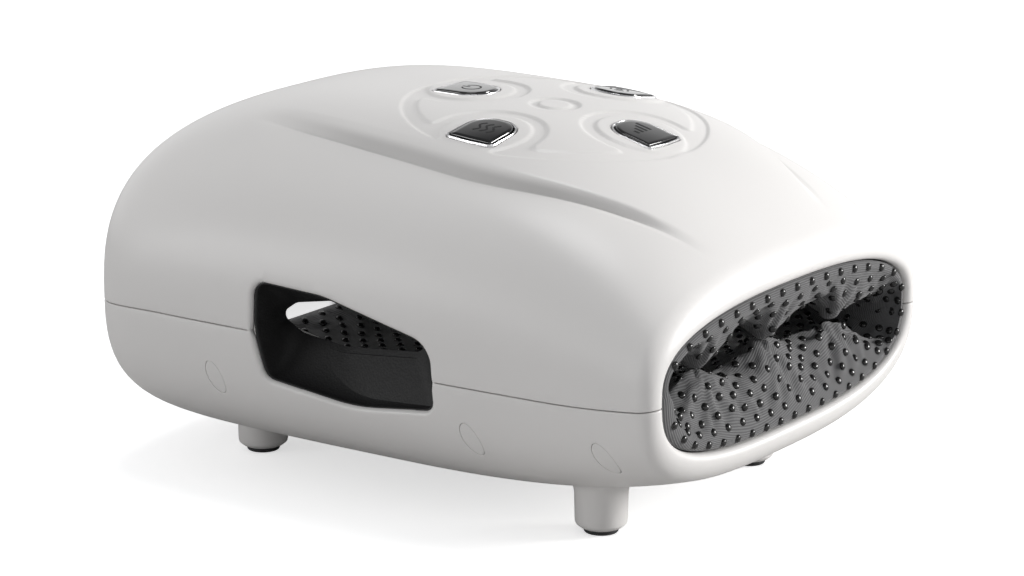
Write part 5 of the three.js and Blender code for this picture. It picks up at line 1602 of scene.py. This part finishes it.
# %% One dot
DOT_RADIUS = 1.25
DOT_HEIGHT = 0.75
DOT_SIDES = 10
DOT_PROFILE = ((1.0, -0.35), (1.0, 0.1), (0.93, 0.42), (0.74, 0.72), (0.42, 0.93))

turns = np.linspace(0, 2 * math.pi, DOT_SIDES, endpoint=False)
dot_rings = []
for wide, high in DOT_PROFILE:
    x, y = DOT_RADIUS * wide * np.cos(turns), DOT_RADIUS * wide * np.sin(turns)
    dot_rings.append(np.column_stack([x, y, np.full(DOT_SIDES, DOT_HEIGHT * high)]))
dot_points, dot_faces = facing_out(*loft(dot_rings))
dot_points[-1, 2] = DOT_HEIGHT
print("a dot has", len(dot_faces), "triangles")

# %% All the dots
DOT_PITCH = (7.7, 3.75)
DOT_START = 3.4
DOT_END = 3
DOT_SIDE_START, DOT_SIDE_END = 3.0, 2.5
DOT_CLEAR = 3.0
DOT_FRONT = -103

for name, side in (("upper", 1), ("lower", -1)):
    face = covers[name]
    rows_here, columns_here = face.shape[:2]
    lengths = cloth_lengths(face, 0)
    step = np.linalg.norm(np.diff(face[EDGE_COLUMNS:-EDGE_COLUMNS], axis=1), axis=-1).mean()
    width = (columns_here - 1) * step
    points, faces, used = [], [], 0
    for k, along in enumerate(np.arange(DOT_START, lengths[-1] - DOT_END, DOT_PITCH[1])):
        start = DOT_SIDE_START + (k % 2) * DOT_PITCH[0] / 2
        for across in np.arange(start, width - DOT_SIDE_END, DOT_PITCH[0]):
            i, j = np.interp(along, lengths, np.arange(rows_here)), across / step
            r, c = min(int(i), rows_here - 2), min(int(j), columns_here - 2)
            corner = face[r : r + 2, c : c + 2]
            down = corner[1].mean(0) - corner[0].mean(0)
            right_way = corner[:, 1].mean(0) - corner[:, 0].mean(0)
            ends = [mix(*pair, j - c) for pair in corner]
            spot = mix(*ends, i - r)
            to_pinch = [math.hypot(spot[0] - p * PINCH_PITCH, spot[1] - PINCH_Y) for p in PINCHES]
            if min(to_pinch) < DOT_CLEAR:
                continue
            normal = unit(np.cross(right_way, down))
            on_face = spot[1] > DOT_FRONT and normal[2] * side > 0
            on_bead = spot[1] < DOT_FRONT and normal[1] > 0
            if on_face or on_bead:
                normal = -normal
            tangent = unit(np.cross(normal, unit(down)))
            axes = np.stack([tangent, np.cross(normal, tangent), normal])
            points.append(spot + dot_points @ axes)
            faces.append(dot_faces + used)
            used += len(dot_points)
    dots = make_piece(f"{name}_rubber_dots", np.concatenate(points), np.concatenate(faces))
    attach(dots, "case")
    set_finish(dots, "foot_rubber")
    print(dots.name, len(points), "dots")

# %% [markdown]
# ## Finishes
# Every real surface here has a fine grain and is a little uneven. Pictures of the materials could
# give that, but they would have to be unwrapped onto each piece. Instead every finish is a small
# node tree: a shader, and a pattern that varies its colour, roughness and bump. Patterns read
# object coordinates, so they stay in the material as the piece moves.

# %% Material helpers
def new_finish(name, colour, roughness, metallic=0.0):
    material = bpy.data.materials.new(name)
    material.use_nodes = True
    shader = material.node_tree.nodes["Principled BSDF"]
    shader.inputs["Base Color"].default_value = (*colour, 1)
    shader.inputs["Roughness"].default_value = roughness
    shader.inputs["Metallic"].default_value = metallic
    return material, shader


def add_node(material, kind, links=(), **values):
    node = material.node_tree.nodes.new(kind)
    for key, value in values.items():
        if hasattr(node, key):
            setattr(node, key, value)
        else:
            node.inputs[key.replace("_", " ")].default_value = value
    for source, socket in links:
        material.node_tree.links.new(source, node.inputs[socket])
    return node


print("materials in the frame:", len(bpy.data.materials))


# %% Patterns that finishes share
def noise_field(material, scale, detail):
    place = add_node(material, "ShaderNodeTexCoord")
    link = (place.outputs["Object"], "Vector")
    return add_node(material, "ShaderNodeTexNoise", [link], Scale=scale, Detail=detail)


def add_bump(material, shader, height, strength, distance):
    link = (height, "Height")
    bump = add_node(material, "ShaderNodeBump", [link], Strength=strength, Distance=distance)
    material.node_tree.links.new(bump.outputs["Normal"], shader.inputs["Normal"])


def grain(material, shader, scale, strength, distance, detail=3.0):
    """A fine noise bump. The noise is given back, so that more can follow it."""
    noise = noise_field(material, scale, detail)
    add_bump(material, shader, noise.outputs["Fac"], strength, distance)
    return noise.outputs["Fac"]


def vary_colour(material, shader, source, low, high, span=(0.3, 0.7)):
    ramp = add_node(material, "ShaderNodeValToRGB", [(source, "Fac")])
    for element, position, colour in zip(ramp.color_ramp.elements, span, (low, high)):
        element.position, element.color = position, (*colour, 1)
    material.node_tree.links.new(ramp.outputs["Color"], shader.inputs["Base Color"])
    return ramp


def vary_roughness(material, shader, source, low, high):
    span = add_node(material, "ShaderNodeMapRange", [(source, "Value")], To_Min=low, To_Max=high)
    material.node_tree.links.new(span.outputs["Result"], shader.inputs["Roughness"])


def dress(piece, material):
    if piece.material_slots:
        piece.material_slots[0].material = material
    else:
        piece.data.materials.append(material)


print("patterns: grain, colour and roughness")

# %% [markdown]
# ## Pearl-white plastic
# The case is a satin white with a faint pearl sheen. A plain white shader would look like paper. A
# fine grain breaks up the gloss, a wide cloud moves the colour by a hair, a thin coat gives the
# sheen, and the number that the skin carries along the crease darkens the colour there as painted
# shade.

# %% Pearl-white plastic of the case
# Painted shade: deep in the crease the colour is darkened by up to this share.
PAINTED_CREASE_SHADE = 0.28
pearl, shader = new_finish("pearl_plastic", (0.8, 0.785, 0.77), 0.4)
noise = grain(pearl, shader, 900.0, 0.05, 0.0003)
cloud = noise_field(pearl, 14.0, 4.0).outputs["Fac"]
ramp = vary_colour(pearl, shader, cloud, (0.79, 0.775, 0.76), (0.81, 0.795, 0.78))
# painted shade along the crease, read from the skin's number
crease = add_node(pearl, "ShaderNodeAttribute", attribute_name="crease_shade")
link = (crease.outputs["Fac"], "Value")
darker = add_node(pearl, "ShaderNodeMapRange", [link], To_Min=1.0, To_Max=1 - PAINTED_CREASE_SHADE)
links = [(ramp.outputs["Color"], "Color"), (darker.outputs["Result"], "Value")]
deeper = add_node(pearl, "ShaderNodeHueSaturation", links)
pearl.node_tree.links.new(deeper.outputs["Color"], shader.inputs["Base Color"])
vary_roughness(pearl, shader, noise, 0.36, 0.46)
shader.inputs["Coat Weight"].default_value = 0.12
shader.inputs["Coat Roughness"].default_value = 0.25
print(pearl.name, "has", len(pearl.node_tree.nodes), "nodes")

# %% [markdown]
# ## Black plastics, rubber and chrome
# The funnels are a matte, grained black, the button caps a mirror-smooth one, and the rims chrome.
# One black with another roughness each would be less work, but it is the grain that tells moulded
# plastic, rubber and print apart up close, so each has its own.

# %% Black plastics, rubber and chrome
matte_black, shader = new_finish("matte_black_plastic", (0.011, 0.011, 0.0115), 0.6)
noise = grain(matte_black, shader, 1500.0, 0.35, 0.0004)
vary_roughness(matte_black, shader, noise, 0.5, 0.75)
gloss_black, shader = new_finish("gloss_black_button", (0.006, 0.006, 0.007), 0.06)
noise = grain(gloss_black, shader, 120.0, 0.01, 0.0002)
vary_roughness(gloss_black, shader, noise, 0.04, 0.1)
shader.inputs["Coat Weight"].default_value = 0.6
mark_black, shader = new_finish("printed_mark", (0.012, 0.012, 0.013), 0.75)
grain(mark_black, shader, 900.0, 0.2, 0.0002)
rubber, shader = new_finish("foot_rubber", (0.03, 0.03, 0.031), 0.8)
noise = grain(rubber, shader, 700.0, 0.4, 0.0004)
vary_colour(rubber, shader, noise, (0.025, 0.025, 0.026), (0.042, 0.042, 0.043))
chrome, shader = new_finish("chrome", (0.7, 0.7, 0.71), 0.2, 1.0)
noise = grain(chrome, shader, 300.0, 0.02, 0.0002)
vary_roughness(chrome, shader, noise, 0.16, 0.26)
outside = (matte_black, gloss_black, mark_black, rubber, chrome)
print("finishes outside:", [material.name for material in outside])

# %% [markdown]
# ## The knitted cover
# The cover is a grey knit with fine ribs that run across the hand. Real threads could be modelled,
# but there are hundreds of ribs. A sine along the cloth's own length makes them as a bump, with
# valleys painted darker as painted shade, and follows every fold, because that length is measured
# on the cloth itself.

# %% Knitted cover
RIB_PITCH = 0.72
knit, shader = new_finish("knit_cover", (0.1, 0.1, 0.103), 0.85)
flat = add_node(knit, "ShaderNodeAttribute", attribute_name="cloth")
parts = add_node(knit, "ShaderNodeSeparateXYZ", [(flat.outputs["Vector"], "Vector")])
ribs = add_node(knit, "ShaderNodeMath", [(parts.outputs["Y"], 0)], operation="MULTIPLY")
ribs.inputs[1].default_value = 2 * math.pi / RIB_PITCH
wave = add_node(knit, "ShaderNodeMath", [(ribs.outputs[0], 0)], operation="SINE")
link = (wave.outputs[0], "Value")
height = add_node(knit, "ShaderNodeMapRange", [link], From_Min=-1.0, From_Max=1.0).outputs["Result"]
# painted shade: the rib valleys are coloured darker than the crests
vary_colour(knit, shader, height, (0.085, 0.085, 0.087), (0.165, 0.165, 0.168), (0.25, 0.95))
add_bump(knit, shader, height, 0.4, 0.0002)
shader.inputs["Sheen Weight"].default_value = 0.2
shader.inputs["Sheen Roughness"].default_value = 0.5
dot_gloss, shader = new_finish("dot_rubber", (0.012, 0.012, 0.012), 0.22)
noise = grain(dot_gloss, shader, 800.0, 0.05, 0.0002)
vary_roughness(dot_gloss, shader, noise, 0.16, 0.3)
print("the knit has a rib every", RIB_PITCH, "mm")

# %% [markdown]
# ## Finishes inside the case
# Nobody sees the pump, the boards or the battery until the case is opened. They keep their plain
# CAD shape. Detailed textures would be wasted on them, but each gets the colour and gloss of its
# material, so that the inside reads at a glance.

# %% Finishes inside the case
inside_white, shader = new_finish("inner_plastic", (0.78, 0.77, 0.755), 0.5)
grain(inside_white, shader, 800.0, 0.15, 0.0003)
steel, shader = new_finish("plated_steel", (0.55, 0.56, 0.58), 0.3, 1.0)
noise = grain(steel, shader, 500.0, 0.1, 0.0002)
vary_roughness(steel, shader, noise, 0.22, 0.42)
board_green, shader = new_finish("circuit_board", (0.02, 0.12, 0.045), 0.45)
noise = grain(board_green, shader, 260.0, 0.2, 0.0003)
vary_colour(board_green, shader, noise, (0.015, 0.1, 0.035), (0.03, 0.15, 0.055))
wrap_blue, shader = new_finish("battery_wrap", (0.03, 0.12, 0.38), 0.35)
grain(wrap_blue, shader, 200.0, 0.08, 0.0003)
film, shader = new_finish("amber_film", (0.42, 0.19, 0.03), 0.3)
grain(film, shader, 150.0, 0.1, 0.0003)
hose, shader = new_finish("hose_rubber", (0.55, 0.53, 0.49), 0.5)
grain(hose, shader, 400.0, 0.1, 0.0003)
inside = (inside_white, steel, board_green, wrap_blue, film, hose)
print("finishes inside:", [material.name for material in inside])

# %% [markdown]
# ## The bright patch behind the thumb opening
# Through the thumb opening the inner wall shows as a bright patch, lit from the other side of the
# case. No lamp reaches it here. One more lamp inside would also light the funnels and the cloth, so
# the outer parts of the wall glow by themselves instead: painted light from a part that is no lamp.

# %% The bright patch of the inner wall
# painted light: emission on the outer parts of the inner wall
GLOW_FROM, GLOW_FULL, GLOW_STRENGTH = 0.024, 0.03, 0.72
glowing_wall, shader = new_finish("bright_inner_wall", (0.75, 0.74, 0.73), 0.55)
grain(glowing_wall, shader, 700.0, 0.1, 0.0003)
place = add_node(glowing_wall, "ShaderNodeTexCoord")
parts = add_node(glowing_wall, "ShaderNodeSeparateXYZ", [(place.outputs["Object"], "Vector")])
off = add_node(glowing_wall, "ShaderNodeMath", [(parts.outputs["X"], 0)], operation="ABSOLUTE")
span = dict(From_Min=GLOW_FROM, From_Max=GLOW_FULL, To_Max=GLOW_STRENGTH)
glow = add_node(glowing_wall, "ShaderNodeMapRange", [(off.outputs[0], "Value")], **span)
glowing_wall.node_tree.links.new(glow.outputs["Result"], shader.inputs["Emission Strength"])
shader.inputs["Emission Color"].default_value = (1, 1, 1, 1)
print("the inner wall gives light from", GLOW_FROM / MM, "mm off the middle")

# %% Put the finishes on
by_slot = dict(
    pearl_case=pearl, black_plastic=matte_black, button_black=gloss_black, foot_rubber=rubber,
    chrome_trim=chrome, liner_knit=knit, inner_plastic=inside_white, plated_steel=steel,
    circuit_board=board_green, battery_wrap=wrap_blue, amber_film=film, hose_rubber=hose,
)
own_finish = dict(mark=mark_black, dots=dot_gloss, bulkhead=glowing_wall)
for piece in bpy.data.objects:
    if piece.type != "MESH":
        continue
    if "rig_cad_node" in piece:
        slot = piece.material_slots[0].material.name.split(".")[0]
    else:
        slot = piece["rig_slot"]
    dress(piece, own_finish.get(piece.name.split("_")[-1], by_slot[slot]))
print("finishes:", len(by_slot) + len(own_finish))

# %% [markdown]
# ## The camera
# The object is seen from the front left, a little from above. A camera could be placed by eye, but
# then no proportion could be checked. Turn, rise, distance and focal length were solved from the
# outline of the case, the mouth, the feet and the buttons.

# %% Camera
CAMERA_TURN, CAMERA_RISE, CAMERA_REACH = math.radians(-53.243), math.radians(15.245), 1006.55
AIM = Vector((0, -2.93, 54.8)) * MM
CENTRE = Vector((0, 0, 55)) * MM
SENSOR_WIDTH = 36.0
FOCAL_PIXELS, PHOTO_PIXELS = 3249.05, 1024
camera_data = bpy.data.cameras.new("camera")
camera = bpy.data.objects.new("camera", camera_data)
bpy.context.scene.collection.objects.link(camera)
away = Vector((
    math.sin(CAMERA_TURN) * math.cos(CAMERA_RISE),
    -math.cos(CAMERA_TURN) * math.cos(CAMERA_RISE),
    math.sin(CAMERA_RISE),
))
camera.location = CENTRE + away * CAMERA_REACH * MM
camera.rotation_euler = (AIM - camera.location).to_track_quat("-Z", "Y").to_euler()
camera_data.sensor_width = SENSOR_WIDTH
camera_data.lens = FOCAL_PIXELS * SENSOR_WIDTH / PHOTO_PIXELS
bpy.context.scene.camera = camera
print("lens:", round(camera_data.lens, 1), "mm")

# %% [markdown]
# ## The room
# The photograph stands before plain white, and its glossy pieces mirror a small studio. A picture
# of a room could light the scene, but it would have to be bought or shot. Here the world is white
# for the camera and a steady light for matte surfaces. For gloss it is pale near the horizon and
# dark higher up, which gives the black buttons their pale sheen.

# %% World
AMBIENT = 0.42
AMBIENT_COLOUR = (0.97, 0.98, 1.0, 1)
WHITE = (1, 1, 1, 1)
SKY = dict(From_Min=0.3, From_Max=0.62, To_Min=1.0, To_Max=0.12)
world = bpy.data.worlds.new("studio")
bpy.context.scene.world = world
world.use_nodes = True
world.node_tree.nodes.clear()

path = add_node(world, "ShaderNodeLightPath")
place = add_node(world, "ShaderNodeTexCoord")
parts = add_node(world, "ShaderNodeSeparateXYZ", [(place.outputs["Generated"], "Vector")])
height = add_node(world, "ShaderNodeMapRange", [(parts.outputs["Z"], "Value")], **SKY)
rays = [(path.outputs["Is Camera Ray"], 0), (path.outputs["Is Transmission Ray"], 1)]
seen = add_node(world, "ShaderNodeMath", rays, operation="MAXIMUM")
plain = add_node(world, "ShaderNodeBackground", Color=AMBIENT_COLOUR, Strength=AMBIENT)
link = (height.outputs["Result"], "Strength")
glossy = add_node(world, "ShaderNodeBackground", [link], Color=WHITE)
white = add_node(world, "ShaderNodeBackground", Color=WHITE, Strength=1.0)
links = [(path.outputs["Is Glossy Ray"], "Fac"), (plain.outputs[0], 1), (glossy.outputs[0], 2)]
first = add_node(world, "ShaderNodeMixShader", links)
links = [(seen.outputs[0], "Fac"), (first.outputs[0], 1), (white.outputs[0], 2)]
second = add_node(world, "ShaderNodeMixShader", links)
add_node(world, "ShaderNodeOutputWorld", [(second.outputs[0], "Surface")])
print("the world has", len(world.node_tree.nodes), "nodes")

# %% [markdown]
# ## The lamps
# The light in the photograph comes mostly from the front right and leaves soft shadows. A sun would
# cut hard edges. Three big round area lamps give the softness: the main one at the front right, a
# weak one above, and one at the rear left that keeps that side of the case from going flat.


# %% Lamps
def soft_lamp(name, spot, aim, size, power, colour=(1, 1, 1)):
    data = bpy.data.lights.new(name, "AREA")
    data.shape, data.size, data.energy, data.color = "DISK", size, power, colour
    lamp = bpy.data.objects.new(name, data)
    bpy.context.scene.collection.objects.link(lamp)
    lamp.location = spot
    lamp.rotation_euler = (Vector(aim) - Vector(spot)).to_track_quat("-Z", "Y").to_euler()
    print(name, "lamp of", power, "W")


soft_lamp("front right", (1.0, -1.15, 0.42), (0, 0, 0.05), 0.5, 21.5, (1, 0.99, 0.98))
soft_lamp("above", (0.1, 0.1, 1.5), (0, 0, 0.1), 0.6, 6.0)
soft_lamp("rear left", (-1.3, 0.9, 0.3), (0, 0, 0.05), 0.6, 3.8)

# %% [markdown]
# ## The floor
# Under the object lies white paper without an edge. A shadow catcher could stand in for it, but the
# case would then get no light back from below. The camera sees the paper nearly white, and every
# other ray sees a duller one, so that the light it throws back stays modest.

# %% Floor
FLOOR_HALF = 4000.0
PAPER_GLOW = 0.6
floor_points = np.array([(-1, -1, 0), (1, -1, 0), (1, 1, 0), (-1, 1, 0)]) * FLOOR_HALF
floor = make_piece("floor", floor_points, [(0, 1, 2, 3)])
paper, shader = new_finish("floor_paper", (0.9, 0.9, 0.9), 0.9)
grain(paper, shader, 40.0, 0.02, 0.001)
path = add_node(paper, "ShaderNodeLightPath")
bright = add_node(paper, "ShaderNodeEmission", Color=WHITE, Strength=PAPER_GLOW)
dull = add_node(paper, "ShaderNodeBsdfDiffuse", Color=(0.55, 0.545, 0.54, 1))
lit = add_node(paper, "ShaderNodeAddShader", [(shader.outputs[0], 0), (bright.outputs[0], 1)])
links = [(path.outputs["Is Camera Ray"], "Fac"), (dull.outputs[0], 1), (lit.outputs[0], 2)]
both = add_node(paper, "ShaderNodeMixShader", links)
surface = paper.node_tree.nodes["Material Output"].inputs["Surface"]
paper.node_tree.links.new(both.outputs[0], surface)
dress(floor, paper)
print("floor:", 2 * FLOOR_HALF * MM, "m wide")

# %% [markdown]
# ## The end
# The scene's colours are shown in the Standard view, without a film-like tone curve.

# %% Finish
bpy.context.scene.view_settings.view_transform = "Standard"
